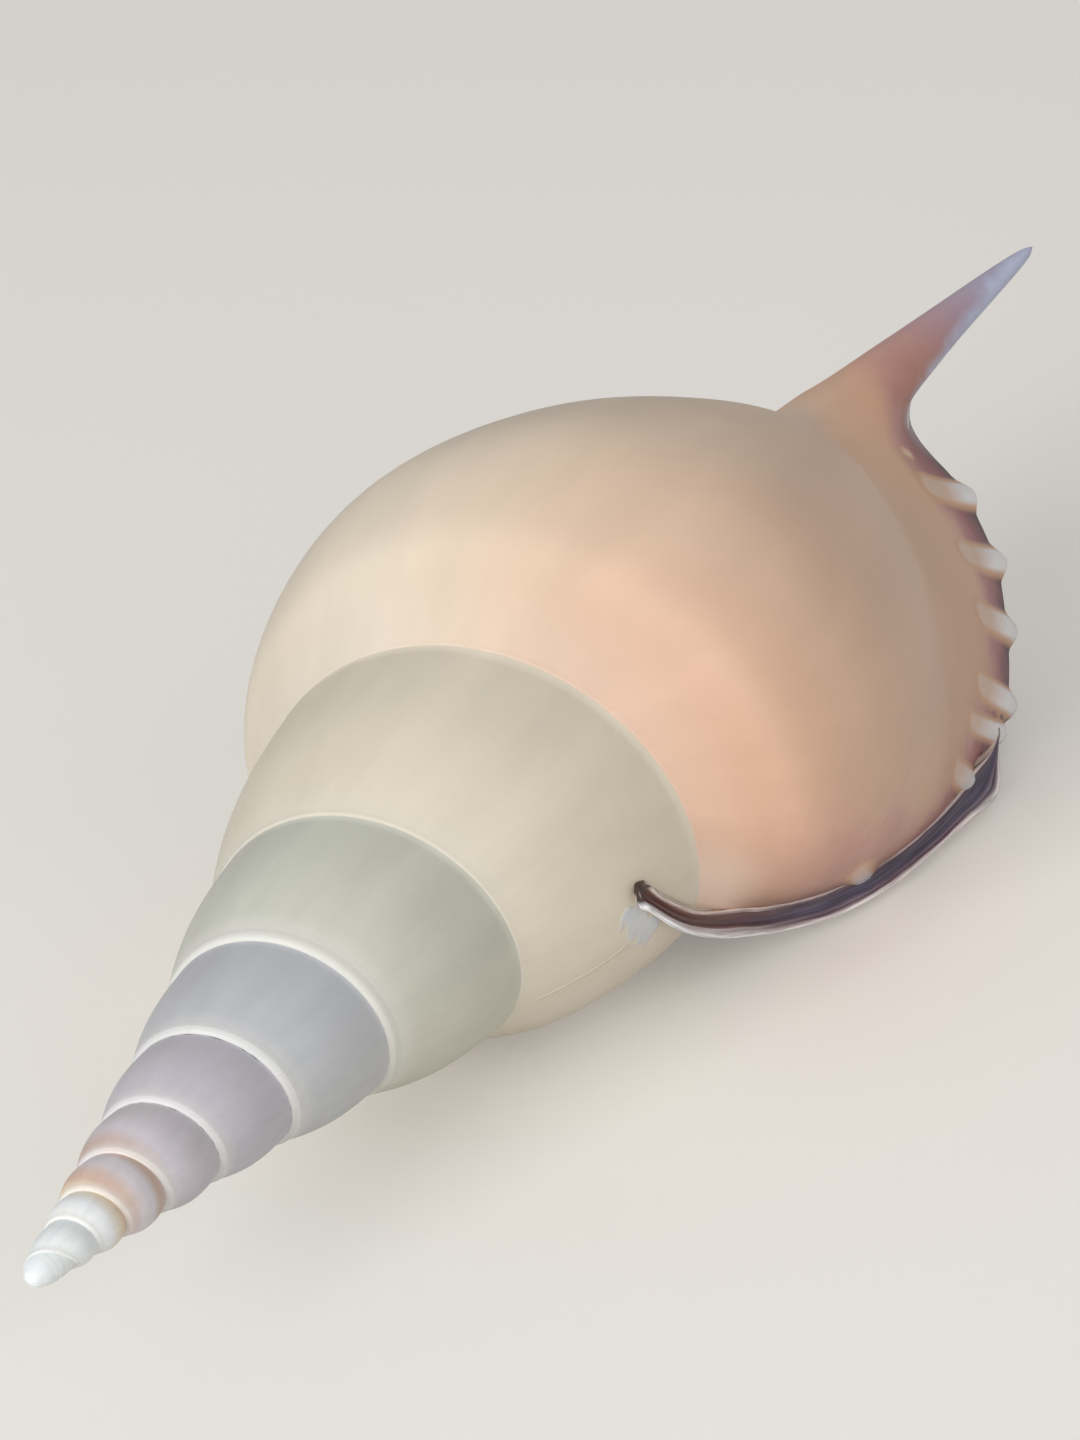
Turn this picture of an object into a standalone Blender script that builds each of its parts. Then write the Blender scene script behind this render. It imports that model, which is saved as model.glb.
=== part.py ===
"""Tibia shell: one grown body of aragonite, lying with the aperture down.

Sizes are millimetres in a frame of its own, where +Y runs from the apex to the front
canal along the axis of coiling. An angle is measured about that axis, from the back of
the shell (+Z) toward the lip (+X). A turn is counted from the lip: 0 there, -1 one whorl
earlier. The finished mesh is turned into its rest and written in metres, +Z up.
"""

import math

import bmesh
import bpy
import numpy as np
from mathutils import Matrix, Vector

METRE = 0.001

# The coil
FIRST_TURN = -9  # where the first whorl leaves the apex
LIP_ANGLE = 75.0  # degrees, where the last suture ends
RIM_SWING = 23.0  # degrees, how much farther round the free rim stands
SUTURE_RADIUS = 16.3
SUTURE_HEIGHT = 62.8
RADIUS_GROWTH = (0.4035, 0.0110)  # per turn and per turn squared, in the exponent
HEIGHT_GROWTH = (0.3092, 0.0025)
WHORL_BULGE = 0.060  # of the whorl's height
APEX_HEIGHT = 1.6

# Profiles of the last whorl: (radius, height) from near the suture to near the canal's tip.
# The first is the belly wall behind the aperture, with the columella below it.
BELLY = ((16.3, 67.0), (14.9, 76.5), (12.2, 87.0), (8.8, 97.5), (5.8, 107.5), (3.6, 117.0), (1.8, 127.0), (0.8, 138.0))
SIDE = ((18.4, 60.4), (20.1, 68.6), (18.2, 78.7), (13.9, 88.3), (9.1, 98.3), (5.6, 107.0), (3.6, 119.5), (2.4, 132.0))
BACK = ((20.2, 66.2), (22.0, 75.2), (19.9, 86.2), (15.2, 96.7), (9.6, 105.7), (5.4, 113.0), (3.5, 122.5), (2.3, 133.0))
SWELL = ((21.5, 69.2), (23.4, 78.6), (21.9, 90.1), (17.6, 101.1), (11.8, 109.8), (6.6, 116.0), (3.6, 124.0), (2.1, 134.0))
LIP = ((20.5, 75.9), (24.2, 86.0), (26.1, 97.7), (25.6, 108.8), (20.5, 120.5), (11.6, 128.0), (4.3, 130.2), (1.9, 137.5))
STATIONS = ((-1.0, BELLY), (-0.62, SIDE), (-0.25, BACK), (-0.09, SWELL), (0.0, LIP))
SHOULDERS = (None, (15.8, 56.8), (18.2, 63.0), (19.3, 65.9), (17.4, 70.8))  # just below the suture
CANAL_TIP = (0.0, 150.0)
CANAL_RISE = 6.0  # the tip curves this far up the back
CANAL_SHIFT = 1.8  # and this far toward the lip
CANAL_START = 120.0

# Walls and the rim
WALL = 2.4
RIM_WALL = 3.2
RIM_BULGE = 0.6
TUBE_END = -3.2  # how far back the hollow reaches
TUBE_STEP = 0.06
COLUMNS = 28  # per turn
SPIRE_ROWS = 6
BODY_ROWS = 20

# The hook behind the lip: (angle, distance off the whorl, height), then the tube's radii
HOOK_PATH = ((50, 0.0, 56.6), (57, 0.4, 57.0), (65, 0.6, 58.0), (73, 0.7, 59.6), (81, 0.9, 62.0))
HOOK_RADII = (0.4, 0.8, 1.0, 1.2, 1.3, 1.3, 1.0)

# Blunt teeth of the rim: (place along the lip, length past the rim)
TEETH = ((0.44, 2.2), (0.52, 2.0), (0.565, 2.0), (0.61, 2.0), (0.66, 2.0), (0.72, 2.0))
TOOTH_RADIUS = 1.4

# The rest on its lip and belly
ROLL = 41.0
PITCH = 4.8


def suture(turn):
    """(radius, height) of the seam between whorls at this turn."""
    radius = SUTURE_RADIUS * math.exp(RADIUS_GROWTH[0] * turn + RADIUS_GROWTH[1] * turn**2)
    height = SUTURE_HEIGHT * math.exp(HEIGHT_GROWTH[0] * turn + HEIGHT_GROWTH[1] * turn**2)
    opening = min(1.0, max(0.0, turn - FIRST_TURN)) * math.pi / 2
    radius *= math.sin(opening)
    height = APEX_HEIGHT + (height - APEX_HEIGHT) * (1 - math.cos(opening))
    return np.array((radius, height))


def spline(points, places):
    """A smooth curve through the points, read at places that run from 0 to 1 by length."""
    points = np.asarray(points, float)
    knots = np.concatenate(([0.0], np.cumsum(np.sqrt(np.linalg.norm(np.diff(points, axis=0), axis=1)))))
    slopes = np.gradient(points, knots, axis=0)
    fine = []
    for i in range(len(points) - 1):
        step = knots[i + 1] - knots[i]
        for u in np.linspace(0, 1, 24, endpoint=i == len(points) - 2):
            a, b = 2 * u**3 - 3 * u**2 + 1, u**3 - 2 * u**2 + u
            c, d = -2 * u**3 + 3 * u**2, u**3 - u**2
            fine.append(a * points[i] + b * step * slopes[i] + c * points[i + 1] + d * step * slopes[i + 1])
    fine = np.array(fine)
    length = np.concatenate(([0.0], np.cumsum(np.linalg.norm(np.diff(fine, axis=0), axis=1))))
    length /= length[-1]
    return np.stack([np.interp(places, length, fine[:, i]) for i in (0, 1)], axis=1)


def whorl(turn, across):
    """Outline of a spire whorl; across runs from its own seam, 0, to the next, 1."""
    near, far = suture(turn), suture(turn + 1)
    across = np.asarray(across, float)[:, None]
    out = near * (1 - across) + far * across
    out[:, :1] += WHORL_BULGE * (far[1] - near[1]) * np.sin(math.pi * across**0.9)
    return out


def eased(turns, values, turn):
    """Values at this turn, on a smooth curve through the given ones."""
    i = max(0, min(len(turns) - 2, int(np.searchsorted(turns, turn, side="right")) - 1))
    step = turns[i + 1] - turns[i]
    rises = np.diff(values, axis=0) / np.diff(turns)[:, None, None]
    slopes = np.concatenate((0 * rises[:1], (rises[:-1] + rises[1:]) / 2, rises[-1:]))
    u = (turn - turns[i]) / step
    a, b = 2 * u**3 - 3 * u**2 + 1, u**3 - 2 * u**2 + u
    c, d = -2 * u**3 + 3 * u**2, u**3 - u**2
    return a * values[i] + b * step * slopes[i] + c * values[i + 1] + d * step * slopes[i + 1]


def profile(turn):
    """The last whorl's profile points at this turn, from its suture to the tip."""
    half, seam = whorl(-1, (0.5, 1.0))
    heads = [(half, seam)] + [((suture(t) + p) / 2, p) for (t, _), p in zip(STATIONS[1:], SHOULDERS[1:])]
    values = np.array([[*head, *points] for head, (_, points) in zip(heads, STATIONS)], float)
    middle = eased([t for t, _ in STATIONS], values, turn)
    return np.array([suture(turn), *middle, CANAL_TIP])


def outline(turn, rows=SPIRE_ROWS, more=BODY_ROWS):
    """Rows of (radius, height): first across the whorl, then on down to the canal's tip."""
    if turn <= -1:
        scale = suture(turn + 1) / suture(0)
        rest = np.array([suture(turn + 1), *(np.array(BELLY) * scale), np.array(CANAL_TIP) * scale])
        across = whorl(turn, np.linspace(0, 1, rows + 1))
        return np.concatenate((across, spline(rest, np.linspace(0, 1, more + 1))[1:]))
    share = 0.16 + 0.12 * min(1.0, (turn + 1) * 3)
    places = np.concatenate((np.linspace(0, share, rows + 1), np.linspace(share, 1, more + 1)[1:]))
    return spline(profile(turn), places)


def bend(points):
    """Curves the canal up and toward the lip."""
    along = np.clip((points[..., 1] - CANAL_START) / (CANAL_TIP[1] - CANAL_START), 0, None)
    out = points.copy()
    out[..., 0] += CANAL_SHIFT * along
    out[..., 2] += CANAL_RISE * along**1.5
    return out


def place(turn, flat, swing=0.0):
    """Points in space from (radius, height) at a turn; swing carries them farther round, in degrees."""
    angle = np.radians(LIP_ANGLE + 360 * turn + np.asarray(swing))
    radius, height = flat[:, 0], flat[:, 1]
    return bend(np.stack((radius * np.sin(angle), height, radius * np.cos(angle)), axis=1))


def swing_at(turn, count):
    """Degrees added at each row, so that the free rim stands farther round than the suture."""
    down = np.clip(np.arange(count) / (0.2 * (count - 1)), 0, 1)
    near_lip = np.clip(1 + turn / 0.3, 0, 1)
    return RIM_SWING * (3 * near_lip**2 - 2 * near_lip**3) * (3 * down**2 - 2 * down**3)


def column(turn):
    """The outer surface's points at this turn."""
    flat = outline(turn)
    return place(turn, flat, swing_at(turn, len(flat)))


def inward(turn):
    """Unit directions into the wall from each point of the outer surface."""
    step = 0.01
    here = column(turn)
    grow = here - column(turn - step)
    along = np.gradient(here, axis=0)
    cross = np.cross(along, grow)
    return cross / (np.linalg.norm(cross, axis=1)[:, None] + 1e-12)


def read(rows, places):
    """Points read along a row of points at places that run from 0 to 1."""
    at = np.linspace(0, 1, len(rows))
    return np.stack([np.interp(places, at, rows[:, i]) for i in range(rows.shape[1])], axis=1)


def inner_side(skin, into, core, wall):
    """The skin moved into the wall, or halfway to the core where the two stand close."""
    gap = np.linalg.norm(core - skin, axis=1)[:, None]
    clear = np.linalg.norm(skin[:, None] - read(core, np.linspace(0, 1, 120))[None], axis=2).min(axis=1)[:, None]
    thick = np.minimum(wall, 0.36 * clear)
    near = np.clip((3 * wall - clear) / (1.5 * wall), 0, 1)
    way = into * (1 - near) + (core - skin) / np.maximum(gap, 1e-9) * near
    way /= np.linalg.norm(way, axis=1)[:, None] + 1e-12
    return skin + way * thick


def tube_ring(turn):
    """One closed ring of the hollow: along its outer side, then back along its inner side."""
    skin, into = column(turn), inward(turn)
    far = place(turn, outline(turn - 1)[SPIRE_ROWS:])
    depth, reach = min(1.0, -turn / 0.12), min(1.0, -turn / 0.27)
    start, end = 0.07 * depth, 1 - 0.34 * reach**0.7
    row = np.linspace(0, 1, 200)
    last = read(skin, (end,))[0, 1]
    far_end = np.interp(last, read(far, row)[:, 1], row)
    near = read(skin, np.linspace(start, end, len(skin)))
    core = read(far, np.linspace(start, far_end, len(skin)))
    wall = WALL * min(1.0, suture(turn + 1)[0] / SUTURE_RADIUS) ** 0.7
    ways = read(into, np.linspace(start, end, len(skin)))
    near = inner_side(near, ways, core, RIM_WALL + (wall - RIM_WALL) * depth)
    near[0], near[-1] = (near[0] + core[0]) / 2, (near[-1] + core[-1]) / 2
    return np.concatenate((near, read(far, np.linspace(far_end, start, len(far))[1:-1])))


class Skin:
    """Gathers points and faces; a point is known by its number."""

    def __init__(self):
        self.points, self.faces = [], []

    def add(self, points):
        first = len(self.points)
        self.points.extend(np.asarray(points, float).reshape(-1, 3))
        return list(range(first, len(self.points)))

    def strip(self, one, two, closed=False):
        """Faces between two rows of the same length."""
        last = len(one) if closed else len(one) - 1
        for i in range(last):
            j = (i + 1) % len(one)
            corners = list(dict.fromkeys((one[i], one[j], two[j], two[i])))
            if len(corners) > 2:
                self.faces.append(corners)

    def fan(self, ring, centre):
        for i, a in enumerate(ring):
            self.faces.append([a, ring[(i + 1) % len(ring)], centre])


def coil(skin):
    """The outer surface from the apex to the lip. Gives the last column and the belly column."""
    count = -FIRST_TURN * COLUMNS
    turns = [FIRST_TURN + i / COLUMNS for i in range(count + 1)]
    tip = skin.add([column(0.0)[-1]])[0]
    seam = [skin.add([column(t)[0]])[0] for t in turns]
    columns = []
    for i, turn in enumerate(turns):
        points = column(turn)
        if i <= count - COLUMNS:
            near = [seam[i], *skin.add(points[1:SPIRE_ROWS]), seam[i + COLUMNS]]
        else:
            near = [seam[i], *skin.add(points[1 : SPIRE_ROWS + 1])]
        if i >= count - COLUMNS:
            near += [*skin.add(points[SPIRE_ROWS + 1 : -1]), tip]
        columns.append(near)
    for one, two in zip(columns, columns[1:]):
        rows = min(len(one), len(two))
        skin.strip(one[:rows], two[:rows])
    first = columns[0]
    ring = seam[:COLUMNS] + first[SPIRE_ROWS:0:-1]
    for one, two in zip(ring[1:], ring[2:]):
        skin.faces.append([ring[0], two, one])
    return columns[-1], columns[-1 - COLUMNS][SPIRE_ROWS:]


def hollow(skin, lip, belly):
    """The rim rounds over into the hollow, which runs back round the coil and ends."""
    outer = np.array([skin.points[i] for i in lip])
    core = read(np.array([skin.points[i] for i in belly]), np.linspace(0, 1, len(lip)))
    inside = inner_side(outer, inward(0.0), core, RIM_WALL)
    thick = np.linalg.norm(inside - outer, axis=1)[:, None]
    onward = column(0.0) - column(-0.01)
    onward /= np.linalg.norm(onward, axis=1)[:, None] + 1e-12
    middle = (outer + inside) / 2 + onward * RIM_BULGE * thick / RIM_WALL
    rows = [lip]
    for points in (middle, inside):
        rows.append([lip[0], *skin.add(points[1:-1]), lip[-1]])
    for one, two in zip(rows, rows[1:]):
        skin.strip(one, two)
    ring = rows[-1] + belly[-2:0:-1]
    turn = -TUBE_STEP / 2
    while turn > TUBE_END:
        made = skin.add(tube_ring(turn))
        skin.strip(ring, made, closed=True)
        ring = made
        turn -= TUBE_STEP
    points = np.array([skin.points[i] for i in ring])
    skin.fan(ring, skin.add([points.mean(axis=0)])[0])


def main_skin():
    skin = Skin()
    lip, belly = coil(skin)
    hollow(skin, lip, belly)
    return skin


def tube(path, radii, sides=8):
    """A closed tapered tube along a path of points."""
    skin = Skin()
    path = np.asarray(path, float)
    along = np.gradient(path, axis=0)
    rings = []
    for point, way, radius in zip(path, along, radii):
        way = way / np.linalg.norm(way)
        side = np.cross(way, (0.0, 0.0, 1.0))
        side /= np.linalg.norm(side)
        rise = np.cross(side, way)
        turns = np.arange(sides) * 2 * math.pi / sides
        rings.append(skin.add([point + radius * (math.cos(t) * side + math.sin(t) * rise) for t in turns]))
    for one, two in zip(rings, rings[1:]):
        skin.strip(one, two, closed=True)
    skin.faces += [rings[0], rings[-1][::-1]]
    return skin


def hook():
    """The rear end of the lip, curling back over the whorl before it."""
    path = []
    for angle, over, height in HOOK_PATH:
        turn = (angle - LIP_ANGLE) / 360 - 1
        near, far = suture(turn), suture(turn + 1)
        share = (height - near[1]) / (far[1] - near[1])
        flat = whorl(turn, (share,)) + (over, 0.0)
        path.append(place(turn, flat)[0])
    path.extend((column(0.0) + inward(0.0) * 1.3)[[2, 3]])
    return tube(path, HOOK_RADII)


def tooth(share, length):
    """A blunt tooth on the rim; share is its place along the lip, 0 at the suture and 1 at the tip."""
    rim = column(0.0)
    at = read(rim, (share - 0.01, share, share + 0.01))
    along = at[2] - at[0]
    out = np.cross(along, (0.0, 0.0, 1.0))
    out *= np.sign(out[0]) / np.linalg.norm(out)
    base = at[1] + read(inward(0.0), (share,))[0] * RIM_WALL * 0.45
    path = [base - out * 2.2, base, base + out * length * 0.6, base + out * length]
    return tube(path, [TOOTH_RADIUS * 1.1, TOOTH_RADIUS, TOOTH_RADIUS * 0.8, TOOTH_RADIUS * 0.4])


def rest():
    """Turns the design frame into the rest: belly and lip on the ground."""
    return Matrix.Rotation(math.radians(PITCH), 4, "X") @ Matrix.Rotation(math.radians(ROLL), 4, "Y")


def mesh_of(name, skin):
    built = bmesh.new()
    points = [built.verts.new(Vector(p)) for p in skin.points]
    for face in skin.faces:
        built.faces.new([points[i] for i in face])
    bmesh.ops.triangulate(built, faces=built.faces)
    bmesh.ops.recalc_face_normals(built, faces=built.faces)
    if built.calc_volume(signed=True) < 0:
        bmesh.ops.reverse_faces(built, faces=built.faces)
    mesh = bpy.data.meshes.new(name)
    built.to_mesh(mesh)
    built.free()
    return mesh


def joined(base, extra):
    """The base with the extra solid grown into it."""
    modifier = base.modifiers.new("grown", "BOOLEAN")
    modifier.operation, modifier.solver, modifier.object = "UNION", "EXACT", extra
    graph = bpy.context.evaluated_depsgraph_get()
    mesh = bpy.data.meshes.new_from_object(base.evaluated_get(graph))
    base.modifiers.clear()
    base.data = mesh
    bpy.data.objects.remove(extra)


def material(name, colour, roughness):
    made = bpy.data.materials.new(name)
    made.use_nodes = True
    surface = made.node_tree.nodes["Principled BSDF"]
    surface.inputs["Base Color"].default_value = (*colour, 1.0)
    surface.inputs["Roughness"].default_value = roughness
    return made


def main():
    for old in list(bpy.data.objects):
        bpy.data.objects.remove(old)
    group = bpy.data.collections.new("tibia_shell")
    bpy.context.scene.collection.children.link(group)
    shell = bpy.data.objects.new("shell", mesh_of("shell", main_skin()))
    group.objects.link(shell)
    extras = [hook(), *(tooth(share, length) for share, length in TEETH)]
    for number, skin in enumerate(extras):
        extra = bpy.data.objects.new(f"extra_{number}", mesh_of("extra", skin))
        group.objects.link(extra)
        joined(shell, extra)
    mesh = shell.data
    mesh.transform(Matrix.Scale(METRE, 4) @ rest())
    points = np.array([v.co for v in mesh.vertices])
    low, high = points.min(axis=0), points.max(axis=0)
    middle = (low + high) / 2
    mesh.transform(Matrix.Translation((-middle[0], -middle[1], -low[2])))
    mesh.materials.clear()
    mesh.materials.append(material("aragonite", (0.62, 0.45, 0.33), 0.35))


if __name__ == "__main__":
    main()
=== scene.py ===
"""Tibia shell: the finish of a grown sea snail shell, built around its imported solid.

Lengths are metres. The shell is laid out in a frame of its own, where +Y runs from the
apex to the front canal along the axis of coiling. An angle is measured about that axis,
from the back of the shell (+Z) toward the lip (+X). A turn is counted from the lip: 0
there, -1 one whorl earlier. The finished shell is then laid in its rest on belly and lip,
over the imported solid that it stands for.
"""

import math

import bpy
import numpy as np
from mathutils import Matrix, Vector


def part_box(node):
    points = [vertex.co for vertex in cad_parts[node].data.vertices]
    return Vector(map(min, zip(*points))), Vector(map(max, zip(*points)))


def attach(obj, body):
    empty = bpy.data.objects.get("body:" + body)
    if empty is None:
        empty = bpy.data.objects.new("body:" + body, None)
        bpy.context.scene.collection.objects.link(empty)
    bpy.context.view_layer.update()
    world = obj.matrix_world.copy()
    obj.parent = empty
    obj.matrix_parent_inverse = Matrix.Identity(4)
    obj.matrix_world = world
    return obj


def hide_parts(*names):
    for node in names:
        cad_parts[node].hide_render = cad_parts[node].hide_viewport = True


bl_info = {
    "name": "Tibia Shell",
    "version": (1, 0, 0),
    "blender": (4, 5, 0),
    "location": "View3D > Sidebar > Tibia Shell",
    "description": "Builds a grown tibia shell with its threads, lip teeth, hook and glaze",
    "category": "Object",
}

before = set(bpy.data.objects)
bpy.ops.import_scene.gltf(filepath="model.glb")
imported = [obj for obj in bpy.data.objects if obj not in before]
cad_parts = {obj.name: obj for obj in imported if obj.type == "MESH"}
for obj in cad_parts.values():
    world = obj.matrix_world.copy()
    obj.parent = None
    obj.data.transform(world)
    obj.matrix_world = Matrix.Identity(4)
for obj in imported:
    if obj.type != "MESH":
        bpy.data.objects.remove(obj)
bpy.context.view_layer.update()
SHELL_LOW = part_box("shell")[0]

MM = 0.001

# The coil: one rule for every whorl
FIRST_TURN = -9.0
RADIUS_BEND = 0.0110  # per turn squared, in the exponent
HEIGHT_BEND = 0.0025
COLUMNS = 144  # per turn, crowded toward its end, so that the lip's rim gets the finest
COLUMN_CROWDING = 1.5
SEAM_ROWS = 30  # from a seam to the next, crowded toward the seam they start from
ROW_CROWDING = 1.7
PLUMP_TURNS = (-3.0, -6.5)  # the young whorls swell more, from none to all over these turns
THREAD_TURNS = (-2.6, -0.9)  # the seam's thread thins out over these turns
THREAD_THIN = 0.18
THREAD_GROWTH = 0.8  # how the seam thread's size follows the whorl's height, up to THREAD_FULL
THREAD_FULL = 8 * MM
THREAD_SHARPNESS = 2.2
BULGE_LEAN = 0.9  # below 1, a whorl swells most nearer to its own seam
APEX_RINGS = 12
APEX_LAP = 0.04 * MM  # how far the tip's dome stands out over the first seam
APEX_RISE = 0.12 * MM  # how far the dome's top stands out beyond that seam's start
SHORT_TURN = 0.01  # over which the growth's direction is taken
SPLINE_STEPS = 32

# Profiles of the last whorl, (radius, height) in mm from near the suture to near the canal's tip
BELLY = (
    (16.3, 67.0), (14.9, 76.5), (12.2, 87.0), (8.8, 97.5),
    (5.8, 107.5), (3.6, 117.0), (1.8, 127.0), (0.8, 138.0))
SIDE = (
    (18.4, 60.4), (20.1, 68.6), (18.2, 78.7), (13.9, 88.3),
    (9.1, 98.3), (5.6, 107.0), (3.6, 119.5), (2.4, 132.0))
BACK = (
    (20.2, 66.2), (22.0, 75.2), (19.9, 86.2), (15.2, 96.7),
    (9.6, 105.7), (5.4, 113.0), (3.5, 122.5), (2.3, 133.0))
SWELL = (
    (21.5, 69.2), (23.4, 78.6), (21.9, 90.1), (17.6, 101.1),
    (11.8, 109.8), (6.6, 116.0), (3.6, 124.0), (2.1, 134.0))
LIP = (
    (20.9, 75.9), (24.3, 86.0), (26.2, 97.7), (24.6, 107.8),
    (18.9, 119.0), (10.3, 126.2), (3.6, 127.9), (1.0, 136.6))
STATIONS = ((-1.0, BELLY), (-0.62, SIDE), (-0.25, BACK), (-0.09, SWELL), (0.0, LIP))  # by turn
SHOULDERS = (None, (15.8, 56.8), (18.2, 63.0), (19.3, 65.9), (18.6, 70.2))  # just below the suture
CANAL_END = (0.45, 148.9)
CANAL_TIP = (0.0, 150.0)
CANAL_START = 120.0  # the height in mm from which the canal curves
CANAL_RISE = 6.0  # up, and with CANAL_SHIFT toward the lip, at its tip
CANAL_SHIFT = 1.8
CANAL_CURVE = 1.5
BODY_ROWS = 150  # from the next seam down to the canal's tip
SEAM_SHARES = (0.16, 0.28)  # of the profile that lies between two seams, at turn -1 and from -2/3 on
SEAM_WEIGHT, BODY_WEIGHT = 6, 20  # how far a column's rows by the seam and its rows below it spread
JOIN_TURNS = (-1.0, -0.8)  # over these the last whorl leaves the coil's rule for its own profiles

# The free rim swings farther round: the turns, and the shares of a column, over which it does so
SWING_TURNS = (-0.3, 0.0)
SWING_SHARES = (0.0, 0.2)

# A shallow trough lies behind the rim, and the lip turns up before it
FLARE_TURNS = (-0.30, -0.16)  # both come in over these
FLARE_SHARES = ((0.24, 0.40), (0.74, 0.60))  # and over these shares of a column, from either end
FULL_FLARE_SHARES = (0.38, 0.48)  # where the turn-up gets its full height
SHORT_FLARE = 0.4  # of that height, nearer to the suture
FLARE_BACK = 6.5  # mm from the rim to the foot of the turn-up
TROUGH_BACK, TROUGH_SPREAD = 7.5, 4.2  # mm from the rim to the trough's middle, and how wide it is

# Rest: roll about the axis of coiling, then tilt, then the apex's place from the box's low corner, in mm
REST_ROLL = math.radians(41.0)
REST_TILT = math.radians(4.8)
REST_PLACE = (20.482, -1.594, 11.687)

# The hollow
WALL = 2.4 * MM
TUBE_END = -1.3  # the turn that it goes back to
TUBE_STEP = 0.03
RING_POINTS = 200
RING_SHARES = (0.07, 0.34)  # of a column, kept solid by the seam and by the canal
RING_TURNS = (0.12, 0.27)  # turns behind the rim over which those come in
RING_POWER = 0.7
WALL_POWER = 0.7  # how the wall thins with the whorl's radius
THIN_WALL = 0.36  # most of the gap to the core that the wall takes where the two stand close
CLOSE_WALLS = (3.0, 1.5)  # gaps in walls, between which the wall turns straight toward the core
DEEP = 60.0  # the most mm from the rim that a mark counts, and what it grows by in one turn of hollow
CENTRE_MARK = (1.5, 80.0)  # down and edge where the hollow is closed
RIM_STEPS = 16  # rows over the rim's face
RIM_ROUNDING = 5
RIM_GROOVE = (0.30, 0.47, 0.22)  # depth as a share of the crown, place across the face and spread
RIDGE_SPOTS = 5
FULL_GIRTH = 2.0 * MM  # half width of a tooth whose ridge is raised in full
TOOTH_DEPTH = 0.2  # of the rim's thickness that a tooth's tip sits in from the rim's outer edge

# Blunt teeth of the rim: share of the lip's length from the suture, half width, reach past the rim and
# length of the ridge on the lip's back in mm, and the share where that ridge starts. A reach below 0
# ends the ridge that far before the rim
TEETH = (
    (0.245, 1.1, -1.0, 5.8, 0.195), (0.412, 1.25, -0.2, 5.2, 0.372), (0.480, 1.05, 0.1, 5.5, 0.435),
    (0.513, 1.35, 0.5, 6.0, 0.482), (0.585, 1.45, 0.6, 6.3, 0.560), (0.645, 1.4, 0.6, 6.8, 0.620),
    (0.702, 1.4, 0.5, 7.2, 0.680), (0.736, 0.5, -6.7, 7.6, 0.707))

# The rim's face behind the corner of the lip, and the hook that it ends in: two edges of one band, each
# as (angle in degrees, radius, height) from the hook's tip on
BACK_EDGE = (
    (49.3, 15.3, 54.9), (53.0, 15.4, 55.7), (58.0, 15.7, 57.0), (66.6, 16.3, 59.8), (75.4, 17.0, 63.5),
    (84.2, 18.1, 68.5), (90.0, 20.2, 73.8), (92.0, 22.5, 79.6), (91.6, 24.1, 85.0), (91.4, 25.2, 91.0),
    (91.4, 25.7, 97.0), (91.4, 25.5, 102.4), (91.3, 24.8, 106.8), (91.1, 24.4, 107.6))
BELLY_EDGE = (
    (50.6, 15.0, 53.9), (53.6, 15.3, 54.2), (61.2, 15.6, 56.2), (70.4, 16.5, 58.9), (79.1, 17.7, 62.6),
    (87.4, 19.3, 67.5), (91.6, 21.7, 73.0), (93.5, 24.1, 79.0), (92.1, 25.8, 84.6), (91.6, 26.8, 90.8),
    (91.3, 27.5, 97.0), (92.0, 28.0, 102.2), (91.4, 26.2, 106.8), (91.1, 25.7, 107.6))

# The band's section in half widths: across it toward the belly, outward, and the mark of that place
BAND_SECTION = (
    (-1.12, -0.20, 0.00), (-1.10, 0.06, 0.02), (-1.02, 0.17, 0.05), (-0.90, 0.12, 0.09), (-0.78, -0.04, 0.14),
    (-0.45, -0.14, 0.30), (0.00, -0.17, 0.50), (0.42, -0.10, 0.70), (0.66, 0.06, 0.80), (0.84, 0.20, 0.88),
    (1.00, 0.18, 0.95), (1.11, 0.00, 1.05), (1.08, -0.45, 1.20), (0.85, -1.10, 1.35), (0.30, -1.90, 1.50),
    (-0.30, -2.55, 1.65), (-0.95, -3.00, 1.80), (-1.75, -2.90, 1.95), (-1.80, -1.20, 2.00))

# Edge of the glaze that the animal lays over the belly side, and the middle of its chalky end by the hook,
# as (angle in degrees, height in mm)
GLAZE_EDGE = (
    (60.0, 61.0), (66.0, 57.0), (70.0, 54.0), (75.5, 50.1), (81.0, 46.9), (95.0, 45.5), (112.0, 52.0),
    (130.0, 62.0), (146.0, 72.0), (158.0, 84.0), (167.0, 98.0), (175.0, 112.0), (184.0, 124.0),
    (200.0, 140.0))
CHALK = ((59.8, 54.8), (64.5, 55.5), (69.0, 56.7))
CHALK_WIDTH = 1.35  # half of it, in mm
GLAZE_TURNS = (-1.12, -0.5)  # the turns that the glaze is marked on
GLAZE_MOST = 8.0  # mm from the edge that the marks count to

BAND_POINTS = 260
BAND_TIP = 1.2 * MM  # the length over which the hook's tip is rounded
BAND_TIP_ROUNDING = 0.97
BAND_TAPER = 7.0 * MM  # the length over which the band's other end narrows
BAND_END_WIDTH = 0.06  # of the full width

# The kinds of a range in the node trees
SOFT, SOFTER = "SMOOTHSTEP", "SMOOTHERSTEP"

# Lamps: name, place in metres, size in metres and power in watts
LAMPS = (
    ("key", (-0.08, -0.86, 0.33), 0.40, 5.5),
    ("fill", (0.60, -0.30, 0.35), 0.60, 0.9),
    ("back", (-0.20, 0.70, 0.50), 0.60, 0.35),
)
WORLD_LIGHT = 0.38
FLOOR_GLOW = 0.20  # seen by the camera only, so that the floor is pale
FLOOR_HALF = 3.0


def linear(code):
    """An sRGB hex code as a linear RGBA colour."""
    parts = [int(code[i : i + 2], 16) / 255 for i in (1, 3, 5)]
    return (*(c / 12.92 if c <= 0.04045 else ((c + 0.055) / 1.055) ** 2.4 for c in parts), 1.0)


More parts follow.
